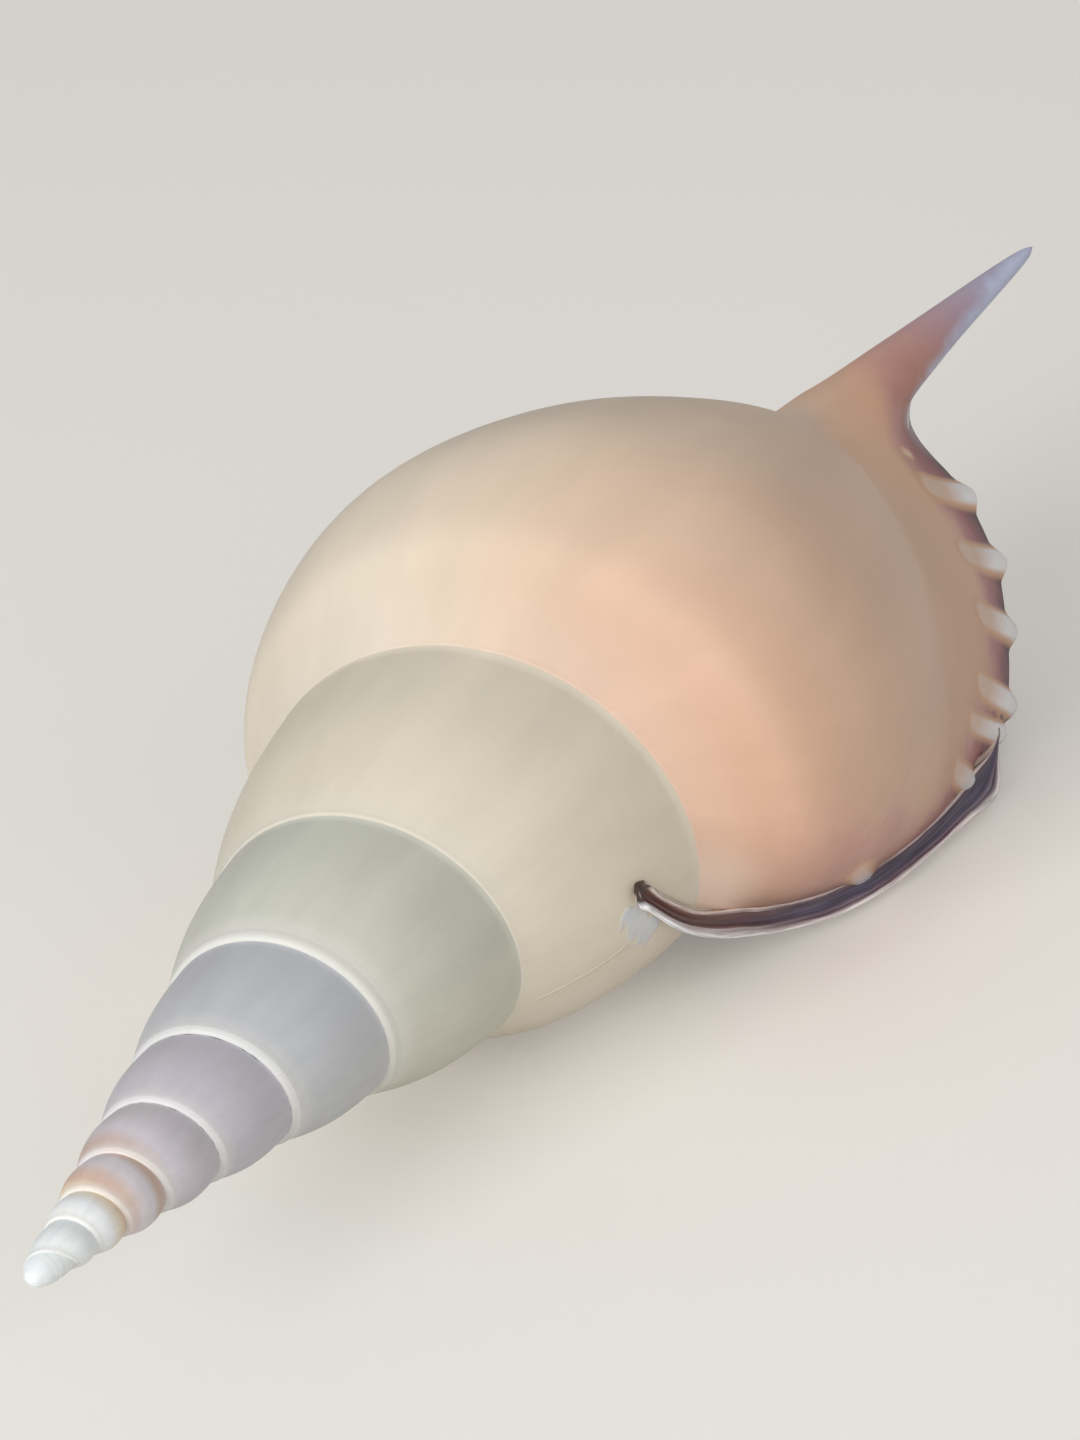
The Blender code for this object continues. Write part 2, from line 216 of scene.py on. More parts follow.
class CoilSizes(bpy.types.PropertyGroup):
    """Sizes of the coil that a user would change"""

    lip_angle: bpy.props.FloatProperty(
        name="Lip Angle", description="Where the last suture ends", default=math.radians(75), subtype="ANGLE")
    suture_radius: bpy.props.FloatProperty(
        name="Suture Radius", description="Radius of the last suture's end", default=16.3 * MM, unit="LENGTH")
    suture_height: bpy.props.FloatProperty(
        name="Suture Height", description="Distance of the last suture's end from the apex",
        default=62.8 * MM, unit="LENGTH")
    radius_growth: bpy.props.FloatProperty(
        name="Radius Growth", description="Growth of the radius per turn, in the exponent", default=0.4035)
    height_growth: bpy.props.FloatProperty(
        name="Height Growth", description="Growth of the height per turn, in the exponent", default=0.3092)
    bulge: bpy.props.FloatProperty(
        name="Whorl Bulge", description="Swelling of a whorl, as a share of its height", default=0.060)
    plumpness: bpy.props.FloatProperty(
        name="Young Swelling", description="Further swelling of the young whorls", default=0.07)
    apex_height: bpy.props.FloatProperty(
        name="Apex Height", description="Where the first whorl starts", default=3.1 * MM, unit="LENGTH")
    thread_height: bpy.props.FloatProperty(
        name="Thread Height", description="How far a young whorl's thread stands out", default=0.16 * MM,
        unit="LENGTH")
    thread_width: bpy.props.FloatProperty(
        name="Thread Width", description="From a young whorl's seam to the top of its thread",
        default=0.36 * MM, unit="LENGTH")


class LipSizes(bpy.types.PropertyGroup):
    """Sizes of the lip that a user would change"""

    swing: bpy.props.FloatProperty(
        name="Rim Swing", description="How much farther round the free rim stands",
        default=math.radians(20.8), subtype="ANGLE")
    thickness: bpy.props.FloatProperty(
        name="Rim Thickness", description="Thickness of the free rim", default=3.2 * MM, unit="LENGTH")
    crown: bpy.props.FloatProperty(
        name="Rim Crown", description="How far the rim's face stands out", default=0.6 * MM, unit="LENGTH")
    flare: bpy.props.FloatProperty(
        name="Flare", description="How far the lip turns up toward its rim", default=2.2 * MM, unit="LENGTH")
    trough: bpy.props.FloatProperty(
        name="Trough", description="Depth of the hollow that runs behind the rim", default=1.4 * MM,
        unit="LENGTH")
    tooth_size: bpy.props.FloatProperty(
        name="Tooth Size", description="Size of the teeth, as a share of their usual size", default=1.0)
    ridge_height: bpy.props.FloatProperty(
        name="Ridge Height", description="Height of a tooth on the back of the lip", default=0.95 * MM,
        unit="LENGTH")
    band_relief: bpy.props.FloatProperty(
        name="Band Relief", description="Swelling of the hook's belly edge, in half widths", default=0.55)


class StageSettings(bpy.types.PropertyGroup):
    """Camera and floor"""

    camera_place: bpy.props.FloatVectorProperty(
        name="Camera Place", description="Where the camera stands", default=(0.13551, -0.25530, 0.15450),
        subtype="XYZ", unit="LENGTH")
    camera_aim: bpy.props.FloatVectorProperty(
        name="Camera Aim", description="The point that the camera looks at",
        default=(-0.00296, -0.00287, 0.01731), subtype="XYZ", unit="LENGTH")
    camera_roll: bpy.props.FloatProperty(
        name="Camera Roll", description="Turn of the camera about its own view", default=math.radians(-3.29),
        subtype="ANGLE")
    lens: bpy.props.FloatProperty(name="Lens", description="Focal length in mm", default=112.5)
    floor: bpy.props.FloatVectorProperty(
        name="Floor", description="Colour of the floor", default=linear("#F1EEE9")[:3], subtype="COLOR")


def ramp(value, start, end):
    """A smooth step from 0 at start to 1 at end."""
    share = np.clip((value - start) / (end - start), 0, 1)
    return share * share * (3 - 2 * share)


def cubic(u, start, start_slope, end, end_slope):
    """The cubic curve between two ends with these slopes, at u from 0 to 1."""
    a, b = 2 * u**3 - 3 * u**2 + 1, u**3 - 2 * u**2 + u
    c, d = -2 * u**3 + 3 * u**2, u**3 - u**2
    return a * start + b * start_slope + c * end + d * end_slope


def suture(sizes, turn):
    """(radius, height) of the seam between whorls at this turn."""
    turn = np.asarray(turn, float)
    radius = sizes.suture_radius * np.exp(sizes.radius_growth * turn + RADIUS_BEND * turn**2)
    height = sizes.suture_height * np.exp(sizes.height_growth * turn + HEIGHT_BEND * turn**2)
    opening = np.clip(turn - FIRST_TURN, 0, 1) * math.pi / 2
    height = sizes.apex_height + (height - sizes.apex_height) * (1 - np.cos(opening))
    return np.stack((radius * np.sin(opening), height), axis=-1)


def thread(sizes, turn, gone, whorl_height):
    """The seam's thread at a distance from the seam, from 0 to 1 at its top, and that top's height."""
    thin = 1 - (1 - THREAD_THIN) * ramp(turn, *THREAD_TURNS)
    thin *= np.minimum(1.0, whorl_height / THREAD_FULL) ** THREAD_GROWTH
    share = gone / (sizes.thread_width * thin)
    return (share * np.exp(1 - share)) ** THREAD_SHARPNESS, sizes.thread_height * thin


def whorl(sizes, turn, across):
    """Outline of a spire whorl; across runs from its own seam, 0, to the next, 1."""
    near, far = suture(sizes, turn), suture(sizes, turn + 1)
    tall = far[1] - near[1]
    across = np.asarray(across, float)
    out = near * (1 - across[:, None]) + far * across[:, None]
    plump = sizes.bulge + sizes.plumpness * ramp(turn, *PLUMP_TURNS)
    plump *= ramp(turn, FIRST_TURN, FIRST_TURN + 1)
    out[:, 0] += plump * tall * np.sin(math.pi * across**BULGE_LEAN)
    shape, top = thread(sizes, turn, across * tall, tall)
    out[:, 0] += shape * top
    return out


def lengths(points):
    """Length gone along a line at each of its points."""
    return np.concatenate(([0.0], np.cumsum(np.linalg.norm(np.diff(points, axis=0), axis=1))))


def spline(points, places):
    """A smooth curve through the points, read at places that run from 0 to 1 by length."""
    points = np.asarray(points, float)
    knots = np.concatenate(([0.0], np.cumsum(np.sqrt(np.linalg.norm(np.diff(points, axis=0), axis=1)))))
    slopes = np.gradient(points, knots, axis=0)
    u = np.linspace(0, 1, SPLINE_STEPS + 1)[:-1, None]
    fine = []
    for i, step in enumerate(np.diff(knots)):
        fine.append(cubic(u, points[i], step * slopes[i], points[i + 1], step * slopes[i + 1]))
    fine = np.concatenate((*fine, points[-1:]))
    length = lengths(fine)
    length /= length[-1]
    return np.stack([np.interp(places, length, fine[:, i]) for i in (0, 1)], axis=1)


def eased(turns, values, turn):
    """Values at this turn, on a smooth curve through the given ones."""
    i = max(0, min(len(turns) - 2, int(np.searchsorted(turns, turn, side="right")) - 1))
    step = turns[i + 1] - turns[i]
    rises = np.diff(values, axis=0) / np.diff(turns)[:, None, None]
    slopes = np.concatenate((0 * rises[:1], (rises[:-1] + rises[1:]) / 2, rises[-1:]))
    u = (turn - turns[i]) / step
    return cubic(u, values[i], step * slopes[i], values[i + 1], step * slopes[i + 1])


def profile(sizes, turn):
    """The last whorl's profile points at this turn, from its suture to the tip."""
    near, seam = suture(sizes, -1), suture(sizes, 0)
    swell = sizes.bulge * (seam[1] - near[1]) * math.sin(math.pi * 0.5**BULGE_LEAN)
    half = (near + seam) / 2 + (swell, 0)
    heads = [(half, seam)]
    for (turn_at, _), point in zip(STATIONS[1:], SHOULDERS[1:]):
        point = np.array(point) * MM
        heads.append(((suture(sizes, turn_at) + point) / 2, point))
    values = [[*head, *(np.array(points) * MM)] for head, (_, points) in zip(heads, STATIONS)]
    middle = eased([at for at, _ in STATIONS], np.array(values), turn)
    return np.array([suture(sizes, turn), *middle, np.array(CANAL_END) * MM, np.array(CANAL_TIP) * MM])


def seam_share(turn):
    """Share of the last whorl's profile that the rows near the seam take."""
    return SEAM_SHARES[0] + (SEAM_SHARES[1] - SEAM_SHARES[0]) * min(1.0, (turn + 1) * 3)


CROWDED = (np.arange(SEAM_ROWS + 1) / SEAM_ROWS) ** ROW_CROWDING
ACROSS = 1 - (1 - np.arange(COLUMNS + 1) / COLUMNS) ** COLUMN_CROWDING  # of one turn


def outline(sizes, turn):
    """Rows of (radius, height): first to the next seam, then on down to the canal's tip."""
    onward = np.linspace(0, 1, BODY_ROWS + 1)[1:]
    if turn <= -1:
        scale = suture(sizes, turn + 1) / suture(sizes, 0)
        rest = [suture(sizes, turn + 1), *(np.array(BELLY) * MM * scale), np.array(CANAL_TIP) * MM * scale]
        return np.concatenate((whorl(sizes, turn, CROWDED), spline(rest, onward)))
    share = seam_share(turn)
    out = spline(profile(sizes, turn), np.concatenate((share * CROWDED, share + (1 - share) * onward)))
    tall = suture(sizes, turn + 1)[1] - suture(sizes, turn)[1]
    shape, top = thread(sizes, turn, lengths(out), tall)
    out[:, 0] += shape * top
    return out


def bend(points):
    """Curves the canal up and toward the lip."""
    along = np.clip((points[..., 1] / MM - CANAL_START) / (CANAL_TIP[1] - CANAL_START), 0, None)
    out = points.copy()
    out[..., 0] += CANAL_SHIFT * MM * along
    out[..., 2] += CANAL_RISE * MM * along**CANAL_CURVE
    return out


def place(sizes, turn, flat, swing=0.0):
    """Points in space from (radius, height) at a turn; swing carries them farther round."""
    angle = sizes.lip_angle + 2 * math.pi * turn + np.asarray(swing)
    radius, height = flat[:, 0], flat[:, 1]
    return bend(np.stack((radius * np.sin(angle), height, radius * np.cos(angle)), axis=1))


def spread_rows(count):
    """Places from 0 to 1 of a whole column's rows, as those of the plain solid lie."""
    row = np.arange(count)
    gone = np.minimum(row, SEAM_ROWS) / SEAM_ROWS * SEAM_WEIGHT
    gone += np.maximum(row - SEAM_ROWS, 0) / BODY_ROWS * BODY_WEIGHT
    return gone / (SEAM_WEIGHT + BODY_WEIGHT)


class LastWhorl:
    """The last whorl's surfaces, which follow the drawn profiles instead of the coil's rule."""

    def __init__(self, coil, lip):
        self.coil, self.lip = coil, lip
        plain = spline(profile(coil, -1.0), SEAM_SHARES[0] * CROWDED)
        shape, top = thread(coil, -1.0, lengths(plain), suture(coil, 0)[1] - suture(coil, -1)[1])
        plain[:, 0] += shape * top
        self.join = whorl(coil, -1.0, CROWDED) - plain
        start = outline(coil, -1.0)[SEAM_ROWS:]
        first = outline(coil, -1.0 + 1e-9)[SEAM_ROWS:]
        self.join_on = start - first

    def swing(self, turn, count):
        """Angle added at each row, so that the free rim stands farther round than the suture."""
        return self.lip.swing * ramp(turn, *SWING_TURNS) * ramp(spread_rows(count), *SWING_SHARES)

    def column(self, turn):
        """The outer surface's points at this turn."""
        flat = outline(self.coil, turn)
        if turn > -1:
            fade = 1 - ramp(turn, *JOIN_TURNS)
            flat[: SEAM_ROWS + 1] += self.join * fade
            flat[SEAM_ROWS:] += self.join_on * fade
            flat[SEAM_ROWS] -= self.join_on[0] * fade
        if turn > FLARE_TURNS[0]:
            flat += self.turned_up(turn, flat)
        return place(self.coil, turn, flat, self.swing(turn, len(flat)))

    def turned_up(self, turn, flat):
        """The lip's shallow trough and the turn-up before its rim."""
        way = np.gradient(flat, axis=0)
        way = np.stack((way[:, 1], -way[:, 0]), axis=1) / (np.linalg.norm(way, axis=1)[:, None] + 1e-15)
        back = -turn * 2 * math.pi * flat[:, 0] / MM
        share = by_row(flat)
        width = ramp(share, *FLARE_SHARES[0]) * ramp(share, *FLARE_SHARES[1])
        flare = self.lip.flare * (SHORT_FLARE + (1 - SHORT_FLARE) * ramp(share, *FULL_FLARE_SHARES))
        rise = flare * np.clip(1 - back / FLARE_BACK, 0, 1) ** 2
        rise -= self.lip.trough * np.exp(-(((back - TROUGH_BACK) / TROUGH_SPREAD) ** 2))
        return way * (width * rise)[:, None] * ramp(turn, *FLARE_TURNS)

    def inward(self, turn):
        """Unit directions into the wall from each point of the outer surface."""
        here = self.column(turn)
        cross = np.cross(np.gradient(here, axis=0), here - self.column(turn - SHORT_TURN))
        return cross / (np.linalg.norm(cross, axis=1)[:, None] + 1e-15)

    def tube_ring(self, turn):
        """One closed ring of the hollow: along its outer side, then back along its inner side."""
        skin, into = self.column(turn), self.inward(turn)
        far = place(self.coil, turn, outline(self.coil, turn - 1)[SEAM_ROWS:])
        depth, reach = (min(1.0, -turn / turns) for turns in RING_TURNS)
        start, end = RING_SHARES[0] * depth, 1 - RING_SHARES[1] * reach**RING_POWER
        row = np.linspace(0, 1, RING_POINTS)
        last = read(skin, (end,))[0, 1]
        far_end = np.interp(last, read(far, row)[:, 1], row)
        near = read(skin, np.linspace(start, end, len(skin)))
        core = read(far, np.linspace(start, far_end, len(skin)))
        wall = WALL * min(1.0, suture(self.coil, turn + 1)[0] / self.coil.suture_radius) ** WALL_POWER
        ways = read(into, np.linspace(start, end, len(skin)))
        near = inner_side(near, ways, core, self.lip.thickness + (wall - self.lip.thickness) * depth)
        near[0], near[-1] = (near[0] + core[0]) / 2, (near[-1] + core[-1]) / 2
        return np.concatenate((near, read(far, np.linspace(far_end, start, len(far))[1:-1])))


def by_row(points):
    """Places from 0 to 1 of the points of a whole column, or of its part below the next seam."""
    if len(points) > BODY_ROWS + 1:
        return spread_rows(len(points))
    return np.arange(len(points)) / (len(points) - 1)


def read(rows, places):
    """Points read along a row of points at places that run from 0 to 1."""
    at = by_row(rows)
    return np.stack([np.interp(places, at, rows[:, i]) for i in range(rows.shape[1])], axis=1)


def inner_side(skin, into, core, wall):
    """The skin moved into the wall, or part way to the core where the two stand close."""
    gap = np.linalg.norm(core - skin, axis=1)[:, None]
    clear = np.linalg.norm(skin[:, None] - core[None], axis=2).min(axis=1)[:, None]
    thick = np.minimum(wall, THIN_WALL * clear)
    near = np.clip((CLOSE_WALLS[0] * wall - clear) / ((CLOSE_WALLS[0] - CLOSE_WALLS[1]) * wall), 0, 1)
    way = into * (1 - near) + (core - skin) / np.maximum(gap, 1e-12) * near
    way /= np.linalg.norm(way, axis=1)[:, None] + 1e-15
    return skin + way * thick


class Skin:
    """Gathers points and faces, and marks that each face's corners carry for the colours."""

    MARKS = ("turn", "down", "edge", "seam")

    def __init__(self):
        self.points, self.faces, self.marks = [], [], []

    def add(self, points):
        first = len(self.points)
        self.points.extend(np.asarray(points, float).reshape(-1, 3))
        return list(range(first, len(self.points)))

    def strip(self, one, two, marks_one, marks_two, closed=False):
        """Faces between two rows of the same length; marks are (turn, down, edge, seam) rows."""
        last = len(one) if closed else len(one) - 1
        for i in range(last):
            j = (i + 1) % len(one)
            corners = (
                (one[i], marks_one[i]), (two[i], marks_two[i]),
                (two[j], marks_two[j]), (one[j], marks_one[j]))
            kept = list(dict(corners).items())
            if len(kept) > 2:
                self.faces.append([number for number, _ in kept])
                self.marks.extend(mark for _, mark in kept)

    def fan(self, centre, ring, centre_mark, ring_marks):
        """Faces that close a ring round one point."""
        for i, one in enumerate(ring):
            j = (i + 1) % len(ring)
            self.faces.append([one, centre, ring[j]])
            self.marks.extend((ring_marks[i], centre_mark, ring_marks[j]))

    def mesh(self, name):
        made = bpy.data.meshes.new(name)
        made.from_pydata([tuple(p) for p in self.points], [], self.faces)
        marks = np.array(self.marks, np.float32)
        for i, mark in enumerate(self.MARKS):
            made.attributes.new(mark, "FLOAT", "CORNER").data.foreach_set("value", marks[:, i])
        made.update()
        return made


def marks(turn, down, edge, seam=0.0):
    """One (turn, down, edge, seam) mark for each point of a row."""
    spread = np.broadcast_arrays(turn, down, edge, seam)
    return [tuple(float(v) for v in row) for row in zip(*(value.ravel() for value in spread))]


def apex(skin, coil):
    """The shell's blunt tip: a small dome that the first whorl's seam winds over, and that whorl's end."""
    turns = FIRST_TURN + np.linspace(0, 1, APEX_RINGS + 1)[1:]
    edge = np.array([suture(coil, turn) for turn in turns])
    edge[:, 0] += APEX_LAP
    around = np.arange(COLUMNS) / COLUMNS
    top = skin.add([(0, coil.apex_height - APEX_RISE, 0)])[0]
    before = None
    for turn, spot in zip(turns, edge):
        made = skin.add(np.concatenate([place(coil, share, spot[None]) for share in around]))
        mark = marks(np.full(COLUMNS, turn), 0.5, -DEEP)
        if before is None:
            skin.fan(top, made, mark[0], mark)
        else:
            skin.strip(made, before, mark, before_mark, closed=True)
        before, before_mark = made, mark
    foot = skin.add([(0, edge[-1, 1], 0)])[0]
    skin.fan(foot, before[::-1], before_mark[0], before_mark)
    turns = FIRST_TURN + ACROSS
    start = np.concatenate([place(coil, turn, suture(coil, turn)[None]) for turn in turns])
    first = place(coil, FIRST_TURN, whorl(coil, FIRST_TURN, CROWDED))
    around = skin.add(np.concatenate((start, first[-2:0:-1])))
    for one, two in zip(around[1:], around[2:]):
        skin.faces.append([around[0], two, one])
        skin.marks.extend([before_mark[0]] * 3)


def last_whorl_skin(coil, lip):
    """The last whorl from the seam column one turn back, round the rim and into the hollow."""
    body = LastWhorl(coil, lip)
    skin = Skin()
    turns = ACROSS - 1
    columns = np.array([body.column(turn) for turn in turns])
    tip = skin.add([columns[-1][-1]])[0]
    numbers = [[*skin.add(points[:-1]), tip] for points in columns]
    down = np.concatenate((CROWDED, 1 + np.linspace(0, 1, BODY_ROWS + 1)[1:]))
    back = np.linalg.norm(np.diff(columns, axis=0), axis=2)[::-1].cumsum(axis=0)[::-1] / MM
    back = np.concatenate((back, np.zeros_like(back[:1])))
    tall = [suture(coil, turn + 1)[1] - suture(coil, turn)[1] for turn in turns]
    seams = [thread(coil, turn, lengths(points), high)[0] for turn, points, high in zip(turns, columns, tall)]
    rows = [marks(turn, down, -np.minimum(gone, DEEP), seam) for turn, gone, seam in zip(turns, back, seams)]
    for i in range(COLUMNS):
        skin.strip(numbers[i], numbers[i + 1], rows[i], rows[i + 1])

    outer, belly = columns[-1], columns[0][SEAM_ROWS:]
    core = read(belly, by_row(outer))
    inside = inner_side(outer, body.inward(0.0), core, lip.thickness)
    thick = np.linalg.norm(inside - outer, axis=1)[:, None]
    onward = body.column(0.0) - body.column(-SHORT_TURN)
    onward /= np.linalg.norm(onward, axis=1)[:, None] + 1e-15
    before, before_marks = numbers[-1], marks(0.0, down, 0.0)
    groove, middle, spread = RIM_GROOVE
    for step in range(1, RIM_STEPS + 1):
        share = step / RIM_STEPS
        crown = (1 - abs(2 * share - 1) ** RIM_ROUNDING) ** 0.5
        crown -= groove * math.exp(-(((share - middle) / spread) ** 2))
        points = outer + (inside - outer) * share + onward * crown * lip.crown * thick / lip.thickness
        made = [before[0], *skin.add(points[1:-1]), tip]
        made_marks = marks(0.0, down, share)
        skin.strip(before, made, before_marks, made_marks)
        before, before_marks = made, made_marks

    ring = before + numbers[0][-2:SEAM_ROWS:-1]
    belly_down = 1 + np.linspace(1, 0, BODY_ROWS + 1)[1:-1]
    ring_down = np.concatenate((down, belly_down))
    ring_edge = np.concatenate((np.ones(len(down)), 3 + 0 * belly_down))
    ring_marks = marks(0.0, ring_down, ring_edge)
    turn = -TUBE_STEP / 2
    while turn > TUBE_END:
        points = body.tube_ring(turn)
        made = skin.add(points)
        edge = ring_edge - turn * DEEP
        made_marks = marks(turn, ring_down, edge)
        skin.strip(ring, made, ring_marks, made_marks, closed=True)
        ring, ring_marks = made, made_marks
        turn -= TUBE_STEP
    points = np.array([skin.points[i] for i in ring])
    centre = skin.add([points.mean(axis=0)])[0]
    skin.fan(centre, ring, marks(turn, *CENTRE_MARK)[0], ring_marks)
    apex(skin, coil)
    return skin, columns, inside


def add(tree, kind, *feeds, name="", inputs=None, stops=(), **settings):
    """Adds a node with its settings. A feed is a value, a socket, or a node whose first output is used.
    Stops are a colour ramp's (place, hex code)."""
    made = tree.nodes.new(kind)
    made.label = name
    for setting, value in settings.items():
        setattr(made, setting, value)
    for number, (at, code) in enumerate(stops):
        elements = made.color_ramp.elements
        element = elements[number] if number < 2 else elements.new(1.0)
        element.position = at
        element.color = linear(code)
    wanted = {number: feed for number, feed in enumerate(feeds) if feed is not None}
    wanted.update(inputs or {})
    for socket, feed in wanted.items():
        if isinstance(feed, bpy.types.Node):
            feed = feed.outputs[0]
        if isinstance(feed, bpy.types.NodeSocket):
            tree.links.new(feed, made.inputs[socket])
        else:
            made.inputs[socket].default_value = feed
    return made


def new_tree(name, inputs, outputs):
    """A geometry node tree with its sockets, given as (name, type, default)."""
    tree = bpy.data.node_groups.new(name, "GeometryNodeTree")
    for in_out, sockets in (("INPUT", inputs), ("OUTPUT", outputs)):
        for label, kind, default in sockets:
            socket = tree.interface.new_socket(label, in_out=in_out, socket_type=kind)
            if default is not None:
                socket.default_value = default
    return tree, tree.nodes.new("NodeGroupInput").outputs, tree.nodes.new("NodeGroupOutput")


def finished_tree(tree, given, out, grown):
    """The tree with its last steps: smooth faces, real geometry and the material."""
    shaded = add(tree, "GeometryNodeSetShadeSmooth", grown)
    real = add(tree, "GeometryNodeRealizeInstances", shaded)
    finished = add(tree, "GeometryNodeSetMaterial", real, inputs={"Material": given["Material"]})
    tree.links.new(finished.outputs[0], out.inputs[0])
    return tree


def seam_sizes(coil):
    """The sizes that a seam's place follows from, by the names of their sockets."""
    names = ("Suture Radius", "Suture Height", "Radius Growth", "Height Growth", "Apex Height")
    return {name: getattr(coil, name.lower().replace(" ", "_")) for name in names}


def seam_tree(coil):
    """A group for the seam's radius and height at a turn: growth by an exponent, opened from the apex."""
    number = "NodeSocketFloat"
    tree, given, out = new_tree(
        "Seam",
        (("Turn", number, 0.0), *((name, number, size) for name, size in seam_sizes(coil).items())),
        (("Radius", number, None), ("Height", number, None)))
    turn, sizes = given["Turn"], {}
    squared = add(tree, "ShaderNodeMath", turn, turn, operation="MULTIPLY")
    for size, bend_rate in (("Radius", RADIUS_BEND), ("Height", HEIGHT_BEND)):
        bent = add(tree, "ShaderNodeMath", squared, bend_rate, operation="MULTIPLY")
        power = add(tree, "ShaderNodeMath", turn, given[size + " Growth"], bent, operation="MULTIPLY_ADD")
        grown = add(tree, "ShaderNodeMath", power, operation="EXPONENT")
        sizes[size] = add(tree, "ShaderNodeMath", grown, given["Suture " + size], operation="MULTIPLY")
    opening = add(
        tree, "ShaderNodeMapRange", turn, FIRST_TURN, FIRST_TURN + 1, 0.0, math.pi / 2, name="Opening")
    sine = add(tree, "ShaderNodeMath", opening, operation="SINE")
    cosine = add(tree, "ShaderNodeMath", opening, operation="COSINE")
    radius = add(tree, "ShaderNodeMath", sizes["Radius"], sine, operation="MULTIPLY")
    over = add(tree, "ShaderNodeMath", sizes["Height"], given["Apex Height"], operation="SUBTRACT")
    closed = add(tree, "ShaderNodeMath", 1.0, cosine, operation="SUBTRACT")
    height = add(tree, "ShaderNodeMath", over, closed, given["Apex Height"], operation="MULTIPLY_ADD")
    tree.links.new(radius.outputs[0], out.inputs["Radius"])
    tree.links.new(height.outputs[0], out.inputs["Height"])
    return tree


def coil_stage(tree, given, coil):
    """The spire's whorls: a grid whose columns are turns and whose rows run from seam to seam."""
    columns = int(-FIRST_TURN - 1) * COLUMNS + 1
    rows = SEAM_ROWS + 1
    grid = add(tree, "GeometryNodeMeshGrid", 1.0, 1.0, columns, rows, name="Whorls")

    # Each column's turn, and each row's share of the way from seam to seam
    index = add(tree, "GeometryNodeInputIndex")
    along = add(tree, "ShaderNodeMath", index, rows, operation="DIVIDE")
    column = add(tree, "ShaderNodeMath", along, operation="FLOOR")
    turns = add(tree, "ShaderNodeMath", column, COLUMNS, operation="DIVIDE")
    whole = add(tree, "ShaderNodeMath", turns, operation="FLOOR")
    left = add(tree, "ShaderNodeMath", turns, whole, operation="SUBTRACT")
    left = add(tree, "ShaderNodeMath", 1.0, left, operation="SUBTRACT")
    left = add(tree, "ShaderNodeMath", left, COLUMN_CROWDING, operation="POWER")
    whole = add(tree, "ShaderNodeMath", whole, FIRST_TURN + 1, operation="ADD")
    turn = add(tree, "ShaderNodeMath", whole, left, operation="SUBTRACT", name="Turn")
    row = add(tree, "ShaderNodeMath", index, rows, operation="MODULO")
    share = add(tree, "ShaderNodeMath", row, 1 / SEAM_ROWS, operation="MULTIPLY")
    across = add(tree, "ShaderNodeMath", share, ROW_CROWDING, operation="POWER", name="Across")
    next_turn = add(tree, "ShaderNodeMath", turn, 1.0, operation="ADD")

    # The whorl swells between its own seam and the next
    seam = seam_tree(coil)
    ends = []
    for at in (turn, next_turn):
        end = add(tree, "GeometryNodeGroup", node_tree=seam)
        tree.links.new(at.outputs[0], end.inputs["Turn"])
        for size in seam_sizes(coil):
            tree.links.new(given[size], end.inputs[size])
        ends.append(end)
    near, far = ends
    tall = add(tree, "ShaderNodeMath", far.outputs["Height"], near.outputs["Height"], operation="SUBTRACT")
    height = add(tree, "ShaderNodeMath", tall, across, near.outputs["Height"], operation="MULTIPLY_ADD")
    wide = add(tree, "ShaderNodeMath", far.outputs["Radius"], near.outputs["Radius"], operation="SUBTRACT")
    straight = add(tree, "ShaderNodeMath", wide, across, near.outputs["Radius"], operation="MULTIPLY_ADD")
    leaning = add(tree, "ShaderNodeMath", across, BULGE_LEAN, operation="POWER")
    arch = add(tree, "ShaderNodeMath", leaning, math.pi, operation="MULTIPLY")
    arch = add(tree, "ShaderNodeMath", arch, operation="SINE")
    young = add(tree, "ShaderNodeMapRange", turn, *PLUMP_TURNS, 0.0, 1.0, interpolation_type=SOFT)
    plump = add(
        tree, "ShaderNodeMath", young, given["Young Swelling"], given["Whorl Bulge"],
        operation="MULTIPLY_ADD")
    opened = add(
        tree, "ShaderNodeMapRange", turn, FIRST_TURN, FIRST_TURN + 1, 0.0, 1.0, interpolation_type=SOFT)
    for other in (opened, tall):
        plump = add(tree, "ShaderNodeMath", plump, other, operation="MULTIPLY")
    bulged = add(
        tree, "ShaderNodeMath", arch, plump, straight, operation="MULTIPLY_ADD", name="Bulged Radius")

    # The thread by its own seam
    gone = add(tree, "ShaderNodeMath", tall, across, operation="MULTIPLY")
    thin = add(tree, "ShaderNodeMapRange", turn, *THREAD_TURNS, 1.0, THREAD_THIN, interpolation_type=SOFT)
    small = add(tree, "ShaderNodeMapRange", tall, 0.0, THREAD_FULL, 0.0, 1.0)
    small = add(tree, "ShaderNodeMath", small, THREAD_GROWTH, operation="POWER")
    thin = add(tree, "ShaderNodeMath", thin, small, operation="MULTIPLY", name="Thread Thinning")
    width = add(tree, "ShaderNodeMath", thin, given["Thread Width"], operation="MULTIPLY")
    share = add(tree, "ShaderNodeMath", gone, width, operation="DIVIDE")
    fall = add(tree, "ShaderNodeMath", 1.0, share, operation="SUBTRACT")
    fall = add(tree, "ShaderNodeMath", fall, operation="EXPONENT")
    shape = add(tree, "ShaderNodeMath", share, fall, operation="MULTIPLY")
    shape = add(tree, "ShaderNodeMath", shape, THREAD_SHARPNESS, operation="POWER")
    top = add(tree, "ShaderNodeMath", thin, given["Thread Height"], operation="MULTIPLY")
    radius = add(tree, "ShaderNodeMath", shape, top, bulged, operation="MULTIPLY_ADD", name="Threaded Radius")

